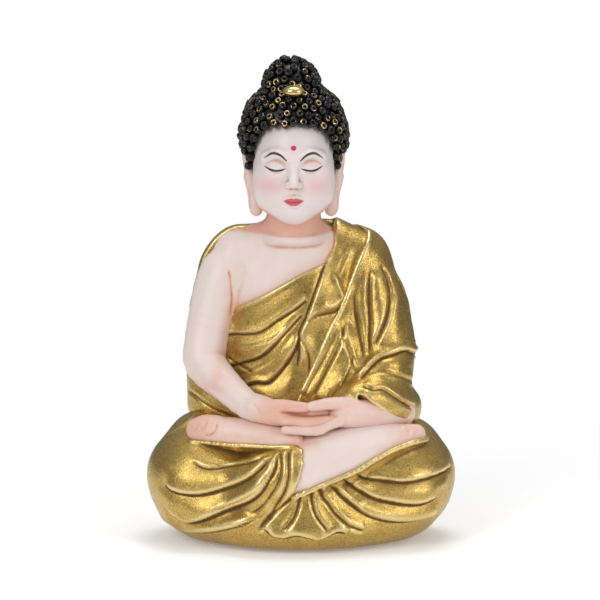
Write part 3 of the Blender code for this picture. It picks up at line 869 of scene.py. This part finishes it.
class Paint:
    """A node material under construction; sizes in its textures are in metres."""

    def __init__(self, name):
        self.material = bpy.data.materials.new(name)
        self.material.use_nodes = True
        self.tree = self.material.node_tree
        self.tree.nodes.clear()
        self.shader = self.node("ShaderNodeBsdfPrincipled")
        out = self.node("ShaderNodeOutputMaterial")
        self.tree.links.new(self.shader.outputs[0], out.inputs["Surface"])
        self.where = self.node("ShaderNodeTexCoord").outputs["Object"]

    def node(self, kind, **settings):
        made = self.tree.nodes.new(kind)
        for key, value in settings.items():
            setattr(made, key, value)
        return made

    def put(self, socket, value):
        """Links a socket to another, or sets its value; a colour may be given as three numbers."""
        if isinstance(value, bpy.types.NodeSocket):
            self.tree.links.new(value, socket)
        elif value is not None:
            socket.default_value = (*value, 1) if isinstance(value, tuple) and len(value) == 3 else value

    def set(self, **inputs):
        """Sets the shader's inputs, with _ for the spaces in their names."""
        for key, value in inputs.items():
            self.put(self.shader.inputs[key.replace("_", " ")], value)

    def attribute(self, name):
        return self.node("ShaderNodeAttribute", attribute_name=name).outputs["Fac"]

    def noise(self, scale, detail=2.0, roughness=0.5):
        made = self.node("ShaderNodeTexNoise")
        inputs = {"Vector": self.where, "Scale": scale, "Detail": detail, "Roughness": roughness}
        for key, value in inputs.items():
            self.put(made.inputs[key], value)
        return made.outputs["Fac"]

    def math(self, operation, a, b=0.0):
        made = self.node("ShaderNodeMath", operation=operation)
        self.put(made.inputs[0], a)
        self.put(made.inputs[1], b)
        return made.outputs[0]

    def span(self, value, low, high, to_low=0.0, to_high=1.0, smooth=True):
        """The value carried from one range to another, eased at the ends if smooth."""
        made = self.node("ShaderNodeMapRange", interpolation_type="SMOOTHSTEP" if smooth else "LINEAR")
        for socket, v in zip(made.inputs, (value, low, high, to_low, to_high)):
            self.put(socket, v)
        return made.outputs[0]

    def mix(self, amount, a, b):
        made = self.node("ShaderNodeMix", data_type="RGBA")
        self.put(made.inputs["Factor"], amount)
        self.put(made.inputs[6], a)
        self.put(made.inputs[7], b)
        return made.outputs[2]

    def bump(self, height, distance, strength):
        made = self.node("ShaderNodeBump")
        self.put(made.inputs["Height"], height)
        self.put(made.inputs["Distance"], distance)
        self.put(made.inputs["Strength"], strength)
        return made.outputs[0]


def gold_paint():
    """Brushed metallic gold with flakes, painted shade in the hollows that is partly an antiquing wash, and
    a painted highlight on the ridges that is partly rubbed wear.
    """
    m = Paint("gold_paint")
    flakes = m.span(m.noise(2600, 2, 0.7), 0.35, 0.65)
    patches = m.noise(110, 4, 0.6)
    hollow = m.math("ADD", m.attribute("hollow"), m.math("MULTIPLY", m.attribute("broad"), 0.22))
    edge = m.math("MULTIPLY", m.math("SUBTRACT", patches, 0.5), 0.10)
    hollow = m.math("ADD", hollow, edge)
    colour = m.mix(m.span(patches, 0.35, 0.65), (0.29, 0.168, 0.028), (0.43, 0.265, 0.054))
    colour = m.mix(m.math("MULTIPLY", flakes, 0.75), colour, (0.80, 0.575, 0.195))
    # Painted shade, partly an antiquing wash: the hollows go dark brown here, and rougher and less metallic
    # below.
    colour = m.mix(m.span(hollow, 0.03, 0.26), colour, (0.13, 0.060, 0.009))
    # Painted highlight, partly rubbed wear: the crests go pale gold.
    colour = m.mix(m.span(hollow, -0.06, -0.26, 0, 0.6), colour, (0.93, 0.75, 0.38))
    rough = m.span(m.noise(900, 3, 0.6), 0.3, 0.7, 0.24, 0.40, False)
    rough = m.math("ADD", rough, m.span(hollow, 0.03, 0.26, 0, 0.22))
    height = m.math("ADD", m.noise(2600, 2, 0.7), m.math("MULTIPLY", m.noise(420, 3, 0.6), 1.3))
    m.set(Base_Color=colour, Metallic=m.span(hollow, 0.04, 0.24, 0.92, 0.45), Roughness=rough,
          Normal=m.bump(height, 0.00013, 0.7), Specular_IOR_Level=0.6)
    return m.material


def skin_colours(m, base, rosy, hollow_shade):
    """Base paint, an airbrushed rosy tint where the tint attribute says, and painted shade in the hollows:
    rosier there, then dark brown.
    """
    hollow = m.math("ADD", m.attribute("hollow"), m.math("MULTIPLY", m.attribute("broad"), 0.5))
    cloud = m.math("MULTIPLY", m.math("SUBTRACT", m.noise(160, 3, 0.55), 0.5), 0.5)
    tint = m.math("ADD", m.attribute("tint"), cloud)
    # Painted shade, partly the figure's own airbrushing: hollows go rosier and crests paler.
    tint = m.math("ADD", tint, m.span(hollow, -0.05, 0.30, -0.10, 0.55))
    colour = m.mix(m.span(tint, 0.05, 1.0), base, rosy)
    # Painted shade: dark brown laid into the hollows.
    return m.mix(m.span(hollow, 0.05, 0.30, 0, 0.85), colour, hollow_shade)


def skin_finish(m, colour, gloss):
    """Satin lacquer over the colour; a lower gloss value is shinier."""
    rough = m.span(m.noise(700, 3, 0.6), 0.3, 0.7, gloss - 0.05, gloss + 0.10, False)
    height = m.math("ADD", m.noise(2200, 2, 0.6), m.noise(380, 3, 0.55))
    m.set(Base_Color=colour, Roughness=rough, Specular_IOR_Level=0.42, Normal=m.bump(height, 0.00006, 0.5),
          Subsurface_Weight=0.08, Subsurface_Scale=0.003)
    m.shader.inputs["Subsurface Radius"].default_value = (1.0, 0.45, 0.3)
    return m.material


def skin_paint():
    """Pale pink lacquer with a rosier airbrush on hands and feet, and painted shade in the hollows."""
    m = Paint("skin_paint")
    colour = skin_colours(m, (0.815, 0.69, 0.64), (0.78, 0.455, 0.35), (0.44, 0.15, 0.085))
    return skin_finish(m, colour, 0.40)


def face_paint():
    """The whiter face, with painted brows, lids, lips and cheeks."""
    m = Paint("face_paint")
    colour = skin_colours(m, (0.84, 0.745, 0.72), (0.78, 0.44, 0.33), (0.50, 0.21, 0.14))
    wobble = m.math("MULTIPLY", m.math("SUBTRACT", m.noise(900, 2, 0.5), 0.5), 0.10)
    colour = m.mix(m.math("MULTIPLY", m.attribute("blush"), 0.52), colour, (0.80, 0.28, 0.27))

    def stroke(name, soft, strength, ink, under):
        d = m.math("ADD", m.attribute(name), wobble)
        return m.mix(m.span(d, soft, -soft, 0, strength), under, ink)
    colour = stroke("lid", 0.35, 0.55, (0.55, 0.27, 0.19), colour)
    colour = stroke("under", 0.25, 0.5, (0.36, 0.17, 0.13), colour)
    colour = stroke("lips", 0.14, 0.92, (0.66, 0.075, 0.085), colour)
    colour = stroke("parting", 0.12, 0.95, (0.16, 0.012, 0.016), colour)
    colour = stroke("brow", 0.10, 0.96, (0.030, 0.020, 0.018), colour)
    colour = stroke("lash", 0.08, 0.97, (0.022, 0.015, 0.014), colour)
    return skin_finish(m, colour, 0.36)


def hair_paint():
    """Glossy black with gold dry-brushed on the crests of some curls."""
    m = Paint("hair_paint")
    grit = m.noise(1500, 3, 0.65)
    crest = m.math("MULTIPLY", m.attribute("crest"), m.attribute("gilt"))
    broken = m.math("MULTIPLY", m.math("SUBTRACT", m.noise(420, 2, 0.5), 0.5), 1.5)
    brushed = m.math("ADD", crest, m.math("MULTIPLY", m.math("SUBTRACT", grit, 0.5), 0.6))
    gilt = m.math("MULTIPLY", m.span(m.math("ADD", brushed, broken), 0.42, 0.66), m.span(crest, 0.08, 0.2))
    colour = m.mix(m.span(m.noise(300, 3, 0.6), 0.3, 0.7), (0.003, 0.003, 0.0035), (0.009, 0.0085, 0.008))
    colour = m.mix(gilt, colour, (0.68, 0.47, 0.19))
    rough = m.span(m.noise(600, 3, 0.6), 0.3, 0.7, 0.20, 0.38, False)
    m.set(Base_Color=colour, Metallic=m.math("MULTIPLY", gilt, 0.9), Roughness=rough,
          Normal=m.bump(grit, 0.00003, 0.4), Specular_IOR_Level=0.38)
    return m.material


def plain(name, dark, light, metallic, rough, bump, scale):
    """One material with a fine grain between two colours, uneven gloss and a bump."""
    m = Paint(name)
    grain = m.noise(scale, 4, 0.65)
    colour = m.mix(m.span(grain, 0.35, 0.65), dark, light)
    m.set(Base_Color=colour, Metallic=metallic, Normal=m.bump(grain, bump, 0.8),
          Roughness=m.span(m.noise(scale / 3, 3, 0.6), 0.3, 0.7, rough - 0.07, rough + 0.07, False))
    return m.material


# ================================================================ pieces

def piece(name, points, faces, material, nodes, paint=None):
    """A smooth mesh object in place of CAD nodes, from millimetres, with its paint as attributes."""
    mesh = bpy.data.meshes.new(name)
    faces = faces if isinstance(faces, list) else faces.tolist()
    mesh.from_pydata((np.asarray(points) * MM).tolist(), [], faces)
    mesh.shade_smooth()
    for key, values in (paint or {}).items():
        mesh.attributes.new(key, "FLOAT", "POINT").data.foreach_set("value", np.asarray(values, np.float32))
    mesh.materials.append(material)
    made = bpy.data.objects.new(name, mesh)
    bpy.context.scene.collection.objects.link(made)
    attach(made, "root")
    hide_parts(*nodes)
    return made


def sculpted(name, sculpt, material, nodes):
    piece(name, sculpt.points, sculpt.quads, material, nodes, sculpt.paint)


GOLD, SKIN, FACE, HAIR = gold_paint(), skin_paint(), face_paint(), hair_paint()
LAP_FRONT = -45.2       # the folds may swell this far forward, and no further
LAP_SIDE = 63.8         # and this far to either side


def make_robe():
    """The gold cloth: over the lap, round the torso, and over the left shoulder and arm."""
    lap = Sculpt(lap_field, (-68, -50, -1), (68, 50, 56), 0.66)
    carve(lap, LAP_SWELLS + LAP_FOLDS + LAP_BACK_FOLDS)
    lap.points[:, 1] = np.maximum(lap.points[:, 1], LAP_FRONT)
    lap.points[:, 0] = np.clip(lap.points[:, 0], -LAP_SIDE, LAP_SIDE)
    shaded(lap)
    # The gold is made darker towards the bottom, through the same hollow value.
    lap.paint["hollow"] += 0.13 * smoothstep(9, 1.5, lap.points[:, 2])
    sculpted("lap_cloth", lap, GOLD, ["robe_lap"])
    torso = Sculpt(torso_field, (-52, -22, 38), (42, 42, 134), 0.6)
    carve(torso, TORSO_SWELLS + TORSO_FOLDS + TORSO_BACK_FOLDS)
    sculpted("torso_cloth", shaded(torso), GOLD, ["robe_torso"])
    sleeve = Sculpt(sleeve_field, (-10, -34, 40), (56, 42, 134), 0.55)
    carve(sleeve, SLEEVE_SWELLS + SLEEVE_FOLDS + SLEEVE_BACK_FOLDS)
    sculpted("sleeve_cloth", shaded(sleeve), GOLD, ["left_sleeve"])


def make_chest_and_right_arm():
    chest = Sculpt(chest_field, (-52, -40, 44), (24, 28, 130), 0.45)
    carve(chest, SKIN_CREASES)
    p = chest.points
    # Painted shade, in a rosy tone, along the robe's edge, in the armpit, on the throat under the neck roll
    # and in the crease below the head; the hand and forearm are rosier paint.
    rosy_shade_by_robe = np.exp(-np.square(polygon(NECKLINE)(p.astype(np.float32)) / 3.2)) * (p[:, 1] < 2)
    hand = smoothstep(-26, -12, p[:, 0]) * smoothstep(66, 60, p[:, 2])
    forearm = smoothstep(84, 68, p[:, 2])
    armpit_shade = glow(p, (-29, -5, 100), (4, 12, 16))
    throat_shade = glow(p, (HEAD_X, -6, 121.6), (15, 14, 1.8))
    shade_below_head = smoothstep(-1.6, 0, p[:, 2] - neck_seam(p))
    chest.paint["tint"] = (0.18 + 0.32 * rosy_shade_by_robe + 0.62 * hand + 0.16 * forearm + 0.30 * armpit_shade
                           + 0.35 * throat_shade + 0.55 * shade_below_head)
    sculpted("chest_and_right_arm", shaded(chest), SKIN, ["chest", "right_arm", "right_hand"])


def make_left_hand():
    hand = Sculpt(LEFT_HAND_FORM, (-12, -42, 44), (50, -2, 68), 0.36)
    hand.paint["tint"] = np.full(len(hand.points), 0.62)
    sculpted("left_hand_skin", shaded(hand), SKIN, ["left_hand"])


def make_feet():
    leg = Sculpt(RIGHT_LEG, (-30, -46, 12), (56, -8, 56), 0.5)
    carve(leg, LEG_CREASES)
    p = leg.points
    leg.paint["tint"] = 0.22 + 0.5 * smoothstep(24, 46, p[:, 0]) + 0.5 * glow(p, (2, -34, 45), (7, 9, 4))
    sculpted("right_leg_skin", shaded(leg), SKIN, ["right_shin_and_foot"])
    foot = Sculpt(LEFT_FOOT, (-52, -42, 34), (6, -8, 58), 0.4)
    carve(foot, FOOT_CREASES)
    p = foot.points
    foot.paint["tint"] = 0.62 + 0.3 * smoothstep(-30, -42, p[:, 0]) + 0.3 * glow(p, (0, -32, 45), (7, 9, 4))
    sculpted("left_foot_skin", shaded(foot), SKIN, ["left_foot"])


def stroke_pair(points, line, *widths):
    """Distance to a stroke on both sides of the face, with its width at each point of the line."""
    best = np.full(len(points), FAR)
    for s in (-1, 1):
        path = [(HEAD_X + s * x, z, width) for (x, z), width in zip(line, widths)]
        best = np.minimum(best, near_line(points, path, 0.5))
    return best


def paint_face(head):
    """Stores the painted lines as distances, and the blush and tint as amounts; the tint holds painted shade
    under the chin, above the lids and under the nose.
    """
    p = head.points
    head.paint["brow"] = stroke_pair(p, BROW, 0.55, 0.95, 1.0, 0.25)
    head.paint["lash"] = stroke_pair(p, LASH, 0.3, 0.75, 0.85, 0.9, 0.35)
    head.paint["under"] = stroke_pair(p, LOWER_LID, 0.1, 0.35, 0.4, 0.1)
    head.paint["lid"] = stroke_pair(p, LID_FOLD, 0.2, 0.5, 0.6, 0.5, 0.2)
    head.paint["lips"] = np.where(p[:, 1] < -10, polygon(LIPS)(p.astype(np.float32)), 10)
    head.paint["parting"] = near_line(p, PARTING, 1.0)
    head.paint["blush"] = sum(both(lambda s: glow(p, (HEAD_X + s * 9.2, -12, 147.2), (4.6, 8, 4.4))))
    # Painted shade under the chin, in the creases above the lids and under the nose; the sides of the face
    # are made rosier too.
    sides = smoothstep(12, 18, abs(p[:, 0] - HEAD_X))
    shade_under_chin = smoothstep(142, 134, p[:, 2]) * smoothstep(-12.5, -7.5, p[:, 1])
    lids = sum(both(lambda s: glow(p, (HEAD_X + s * EYE_X, -15, 157), (4.5, 6, 1.6))))
    nose = glow(p, (HEAD_X, -18, 146), (3.4, 5, 1.4))
    head.paint["tint"] = 0.08 + 0.20 * sides + 0.95 * shade_under_chin + 0.35 * lids + 0.3 * nose


def make_head():
    head = Sculpt(head_field, (-24, -26, 122), (20, 28, 182), 0.33)
    paint_face(head)
    sculpted("head_and_face", shaded(head, 3, 20), FACE, ["head"])
    for side, name in ((-1, "right_ear"), (1, "left_ear")):
        ear = Sculpt(ear_form(side), (HEAD_X - 24, -4, 130), (HEAD_X + 24, 14, 165), 0.3)
        ear.paint["tint"] = np.full(len(ear.points), 0.55)
        sculpted(name + "_skin", shaded(ear), SKIN, [name])


FACE_DEPTH = 4.5        # where the bare face gives way to hair at the side
HAIRLINE = mirrored([(60, 60), (60, 148), (19.4, 150), (18.8, 156), (17.0, 160.5), (16.2, 166),
                     (13.5, 169.8), (8, 171.6), (0, 172.2)])
CURL = 1.85             # a curl's radius
CURL_GAP = 3.4          # the least distance between two curls' middles
HAIR_TOP = 199.8        # curls are kept below this, inside the CAD's height
JEWEL_AT = (HEAD_X, -9.4, 185.0)


def bare_face(p):
    """Negative where the face or neck shows instead of hair."""
    front = smax(polygon(HAIRLINE)(p), p[:, 1] - FACE_DEPTH, 1.0)
    nape = p[:, 2] - 149.0 - 0.25 * np.clip(14 - p[:, 1], 0, 12)
    return np.minimum(front, nape)


def hair_field(p):
    """The cap that the curls stand on."""
    return smax(HAIR_BODY(p) + 0.7, -bare_face(p), 0.8)


def hairline_seats():
    """A row of curls along the brow's hairline and down in front of the ears."""
    edge = smooth_path([(17.6, 158.5), (16.9, 164), (14.6, 169.6), (8.5, 172.2), (0, 173.0)], 40)
    run = np.concatenate([[0], np.cumsum(np.linalg.norm(np.diff(edge, axis=0), axis=1))])
    spots = [np.interp(np.linspace(0, run[-1], 8), run, edge[:, i]) for i in (0, 1)]
    seats = [(HEAD_X + s * x, z) for x, z in zip(*spots) for s in (-1, 1) if s > 0 or x > 0.5]
    p = np.array([(x, -60, z) for x, z in seats], np.float32)
    for _ in range(60):
        p[:, 1] += 0.7 * np.minimum(HAIR_BODY(p), 5)
    p[:, 1] = np.minimum(p[:, 1], 1.0)
    sides = [(s * x + HEAD_X, y, z) for s in (-1, 1)
             for x, y, z in ((18.0, -1.0, 157.2), (18.1, -0.4, 153.8))]
    return np.vstack([p, sides]).astype(np.float32)


def curl_seats():
    """Places and outward directions of the curls, packed upwards from the hairline at an even spacing."""
    count = 9000
    k = np.arange(count) + 0.5
    rise, turn = 1 - 2 * k / count, math.pi * (1 + math.sqrt(5)) * k
    flat = np.sqrt(1 - rise * rise)
    aim = np.stack([flat * np.sin(turn), -flat * np.cos(turn), rise], 1).astype(np.float32)
    p = np.array((HEAD_X, 6.5, 176), np.float32) + 34 * aim
    for _ in range(40):
        p = p - 0.8 * HAIR_BODY(p)[:, None] * aim
    clear = (bare_face(p) > 0.5) & (np.linalg.norm((p - JEWEL_AT) / (1.45, 1.0, 1.0), axis=1) > 3.5)
    clear &= (np.minimum(ear_form(-1)(p), ear_form(1)(p)) > 1.5) & (face_form(p) > -1.0)
    kept = hairline_seats()
    for q in p[clear][np.argsort(p[clear][:, 2])]:
        if np.square(kept - q).sum(1).min() > CURL_GAP ** 2:
            kept = np.vstack([kept, q])
    out = gradient(HAIR_BODY, kept)
    out[:, 2] = np.maximum(out[:, 2], -0.25)
    return kept, out / np.linalg.norm(out, axis=1)[:, None]


def curl_shape():
    """Points, faces and gilding of one snail-shell curl: a dome with a spiral groove round a small pit."""
    around, rings = 16, 9
    turn = np.tile(np.arange(around) * math.tau / around, rings)
    r = np.repeat(np.arange(1, rings + 1) / rings, around)
    winding = np.cos(math.tau * (2.1 * r - turn / math.tau))
    dome = np.sqrt(np.clip(1 - np.square(r), 0, 1))
    rise = 1.85 * dome + 0.11 * winding * smoothstep(0.2, 0.5, r) * smoothstep(1.0, 0.8, r)
    rise -= 1.4 * np.exp(-np.square(r / 0.36))
    rise = np.where(r > 0.99, -1.2, rise)
    points = np.stack([r * np.cos(turn) * CURL, r * np.sin(turn) * CURL, rise], 1)
    points = np.vstack([[(0, 0, 0.4)], points])
    crest = np.concatenate([[0.0], np.exp(-np.square((r - 0.56) / 0.17)) * (0.8 + 0.2 * winding)])
    faces = [(0, 1 + i, 1 + (i + 1) % around) for i in range(around)]
    for inner in range(1, 1 + (rings - 1) * around, around):
        outer = inner + around
        for i in range(around):
            j = (i + 1) % around
            faces.append((inner + i, outer + i, outer + j, inner + j))
    faces.append(tuple(1 + (rings - 1) * around + i for i in range(around))[::-1])
    return points, faces, crest


def make_curls():
    """A curl on each seat, with its own size, lean, turn and share of gold."""
    curl, curl_faces, curl_crest = curl_shape()
    rng = np.random.default_rng(7)
    points, faces, crests, gilts = [], [], [], []
    for seat, out in zip(*curl_seats()):
        lean = out + rng.normal(0, 0.09, 3)
        lean /= np.linalg.norm(lean)
        spin = Matrix.Rotation(rng.uniform(0, 6.28), 3, "Z")
        axes = np.array(Vector(lean).to_track_quat("Z", "Y").to_matrix() @ spin)
        size = rng.uniform(0.90, 1.06)
        start = len(points) * len(curl)
        seat = seat + out * rng.uniform(-0.15, 0.3) + np.cross(out, rng.normal(0, 0.28, 3))
        points.append(seat + (curl * size) @ axes.T)
        faces += [tuple(start + i for i in face) for face in curl_faces]
        crests.append(curl_crest)
        facing = smoothstep(-0.2, 0.9, -lean[1])
        gilts.append(np.full(len(curl), (0.30 + 0.72 * rng.uniform(0, 1)) * (0.4 + 0.6 * facing)))
    points = np.concatenate(points)
    points[:, 2] = np.minimum(points[:, 2], HAIR_TOP)
    paint = {"crest": np.concatenate(crests), "gilt": np.concatenate(gilts)}
    piece("hair_curls", points, faces, HAIR, ["hair_cap"], paint)


def make_hair():
    cap = Sculpt(hair_field, (-30, -20, 142), (24, 34, 202), 0.6)
    cap.paint["crest"] = np.zeros(len(cap.points))
    cap.paint["gilt"] = np.zeros(len(cap.points))
    sculpted("hair_cap_base", cap, HAIR, ["hair_cap"])
    make_curls()


def make_jewel():
    gold = plain("jewel_gold", (0.66, 0.46, 0.16), (0.90, 0.70, 0.34), 0.95, 0.28, 0.00004, 1400)
    x, y, z = JEWEL_AT
    form = union(0.5, ball(JEWEL_AT, (3.9, 2.6, 2.1)), ball((x, y + 1.5, z), (4.4, 2.2, 2.6)))
    jewel = Sculpt(form, (-10, -16, 179), (4, -4, 189), 0.25)
    sculpted("bun_jewel", jewel, gold, ["hair_jewel"])


def make_brow_mark():
    """The red dot, half sunk in the brow's surface."""
    red = plain("urna_red", (0.60, 0.03, 0.06), (0.76, 0.06, 0.11), 0.0, 0.32, 0.00002, 1800)
    mark = np.array([[HEAD_X, -40.0, BROW_MARK_Z]], np.float32)
    for _ in range(60):
        mark[0, 1] += 0.7 * float(face_form(mark)[0])
    spot = ball((HEAD_X, float(mark[0, 1]) + 0.1, BROW_MARK_Z), (1.15, 0.6, 1.15))
    sculpted("brow_mark", Sculpt(spot, (-6, -24, 159), (0, -10, 166), 0.15), red, ["urna"])


def lathe(name, profile, radii, around, material, nodes, at=(0, 0)):
    """An oval solid turned from (inset, z) steps; the first and last steps close flat."""
    turn = np.arange(around) * math.tau / around
    rows = [np.stack([at[0] + (radii[0] - inset) * np.cos(turn), at[1] + (radii[1] - inset) * np.sin(turn),
                      np.full(around, z)], 1) for inset, z in profile]
    faces = []
    for k in range(len(rows) - 1):
        for i in range(around):
            j = (i + 1) % around
            faces.append((k * around + i, k * around + j, (k + 1) * around + j, (k + 1) * around + i))
    faces.append(tuple(range(around))[::-1])
    faces.append(tuple((len(rows) - 1) * around + i for i in range(around)))
    made = piece(name, np.concatenate(rows), faces, material, nodes)
    for face in list(made.data.polygons)[-2:]:
        face.use_smooth = False


def make_base():
    """The plate that closes the casting, the felt under it and the dowel in the neck."""
    resin = plain("bare_resin", (0.50, 0.47, 0.41), (0.62, 0.59, 0.52), 0.0, 0.55, 0.00008, 500)
    steel = plain("steel", (0.42, 0.43, 0.45), (0.58, 0.59, 0.60), 1.0, 0.30, 0.00003, 1200)
    felt = Paint("felt")
    fuzz = felt.noise(1800, 4, 0.75)
    felt.set(Base_Color=felt.mix(felt.span(fuzz, 0.3, 0.7), (0.020, 0.045, 0.022), (0.065, 0.11, 0.062)),
             Roughness=0.95, Sheen_Weight=0.4, Normal=felt.bump(fuzz, 0.0003, 1.0))
    plate = (RECESS[0] - PLATE_GAP, RECESS[1] - PLATE_GAP)
    steps = [(0.5, 1.65), (0.1, 1.85), (0, 2.2), (0, 4.0), (0.1, 4.3), (0.5, 4.45)]
    lathe("closing_plate", steps, plate, 128, resin, ["base_plate"])
    steps = [(0.25, 0), (0.05, 0.15), (0, 0.4), (0, 1.3), (0.2, 1.5)]
    lathe("felt", steps, plate, 128, felt.material, ["felt_pad"])
    steps = [(0.5, 102), (0.1, 102.4), (0, 102.9), (0, 135.1), (0.1, 135.6), (0.5, 136)]
    lathe("dowel", steps, (2.0, 2.0), 32, steel, ["neck_dowel"], (HEAD_X, 3.0))


make_robe()
make_chest_and_right_arm()
make_left_hand()
make_feet()
make_head()
make_hair()
make_jewel()
make_brow_mark()
make_base()


# ================================================================ stage, lights and camera

FLOOR = 0.6             # the floor disc's radius in metres
FLOOR_Z = -0.0002
VIEW_WIDTH = 0.2478     # metres across the picture at the statue


def make_floor():
    """White paper that fades into the white behind it, so that no edge shows."""
    sides = 96
    turn = np.arange(sides) * math.tau / sides
    rim = np.stack([FLOOR * np.cos(turn), FLOOR * np.sin(turn), np.full(sides, FLOOR_Z)], 1)
    mesh = bpy.data.meshes.new("floor")
    mesh.from_pydata(rim.tolist(), [], [tuple(range(sides))])
    m = Paint("floor_paper")
    grain = m.noise(60, 3, 0.5)
    length = m.node("ShaderNodeVectorMath", operation="LENGTH")
    m.put(length.inputs[0], m.where)
    far = m.span(length.outputs["Value"], 0.10, 0.30)
    paper = m.mix(grain, (0.86, 0.86, 0.86), (0.89, 0.89, 0.89))
    m.set(Base_Color=m.mix(far, paper, (0.0, 0.0, 0.0)), Roughness=0.9, Specular_IOR_Level=0.0,
          Emission_Color=(1.0, 1.0, 1.0), Emission_Strength=m.span(far, 0.0, 1.0, 0.21, 1.0, False))
    mesh.materials.append(m.material)
    floor = bpy.data.objects.new("floor", mesh)
    bpy.context.scene.collection.objects.link(floor)


def lamp(name, at, aim, size, power):
    data = bpy.data.lights.new(name, "AREA")
    data.shape = "RECTANGLE"
    data.size, data.size_y = size
    data.energy = power
    made = bpy.data.objects.new(name, data)
    made.location = at
    made.rotation_mode = "QUATERNION"
    made.rotation_quaternion = (Vector(aim) - Vector(at)).to_track_quat("-Z", "Y")
    bpy.context.scene.collection.objects.link(made)


def make_world():
    """White behind the statue for the camera, and a softer grey surround for light and reflections."""
    world = bpy.data.worlds.new("studio")
    bpy.context.scene.world = world
    world.use_nodes = True
    tree = world.node_tree
    tree.nodes.clear()
    out = tree.nodes.new("ShaderNodeOutputWorld")
    pick = tree.nodes.new("ShaderNodeMixShader")
    rays = tree.nodes.new("ShaderNodeLightPath")
    seen, lit = tree.nodes.new("ShaderNodeBackground"), tree.nodes.new("ShaderNodeBackground")
    seen.inputs["Color"].default_value = (1, 1, 1, 1)
    seen.inputs["Strength"].default_value = 1.0
    lit.inputs["Color"].default_value = (0.97, 0.985, 1.0, 1)
    where, axes = tree.nodes.new("ShaderNodeTexCoord"), tree.nodes.new("ShaderNodeSeparateXYZ")
    rise = tree.nodes.new("ShaderNodeMapRange")
    for socket, value in zip(list(rise.inputs)[1:5], (-0.25, 0.85, 0.09, 0.50)):
        socket.default_value = value
    tree.links.new(where.outputs["Generated"], axes.inputs[0])
    tree.links.new(axes.outputs["Z"], rise.inputs[0])
    tree.links.new(rise.outputs[0], lit.inputs["Strength"])
    tree.links.new(rays.outputs["Is Camera Ray"], pick.inputs[0])
    tree.links.new(lit.outputs[0], pick.inputs[1])
    tree.links.new(seen.outputs[0], pick.inputs[2])
    tree.links.new(pick.outputs[0], out.inputs["Surface"])


def make_camera():
    data = bpy.data.cameras.new("camera")
    distance, elevation = 1.1, math.radians(8)
    data.sensor_width = 36
    data.lens = data.sensor_width * distance / VIEW_WIDTH
    made = bpy.data.objects.new("camera", data)
    back = Vector((0, -math.cos(elevation), math.sin(elevation)))
    made.location = Vector((-0.0004, 0, 0.0985)) + back * distance
    made.rotation_mode = "QUATERNION"
    made.rotation_quaternion = (-back).to_track_quat("-Z", "Y")
    bpy.context.scene.collection.objects.link(made)
    bpy.context.scene.camera = made


make_floor()
lamp("key", (-0.55, -0.75, 0.62), (0, 0, 0.09), (0.42, 0.6), 4.1)
lamp("fill", (0.75, -0.60, 0.40), (0, 0, 0.09), (0.34, 0.6), 2.7)
lamp("top", (0.05, 0.15, 0.95), (0, 0, 0.1), (0.5, 0.4), 3.4)
make_world()
make_camera()
bpy.context.scene.view_settings.view_transform = "Standard"
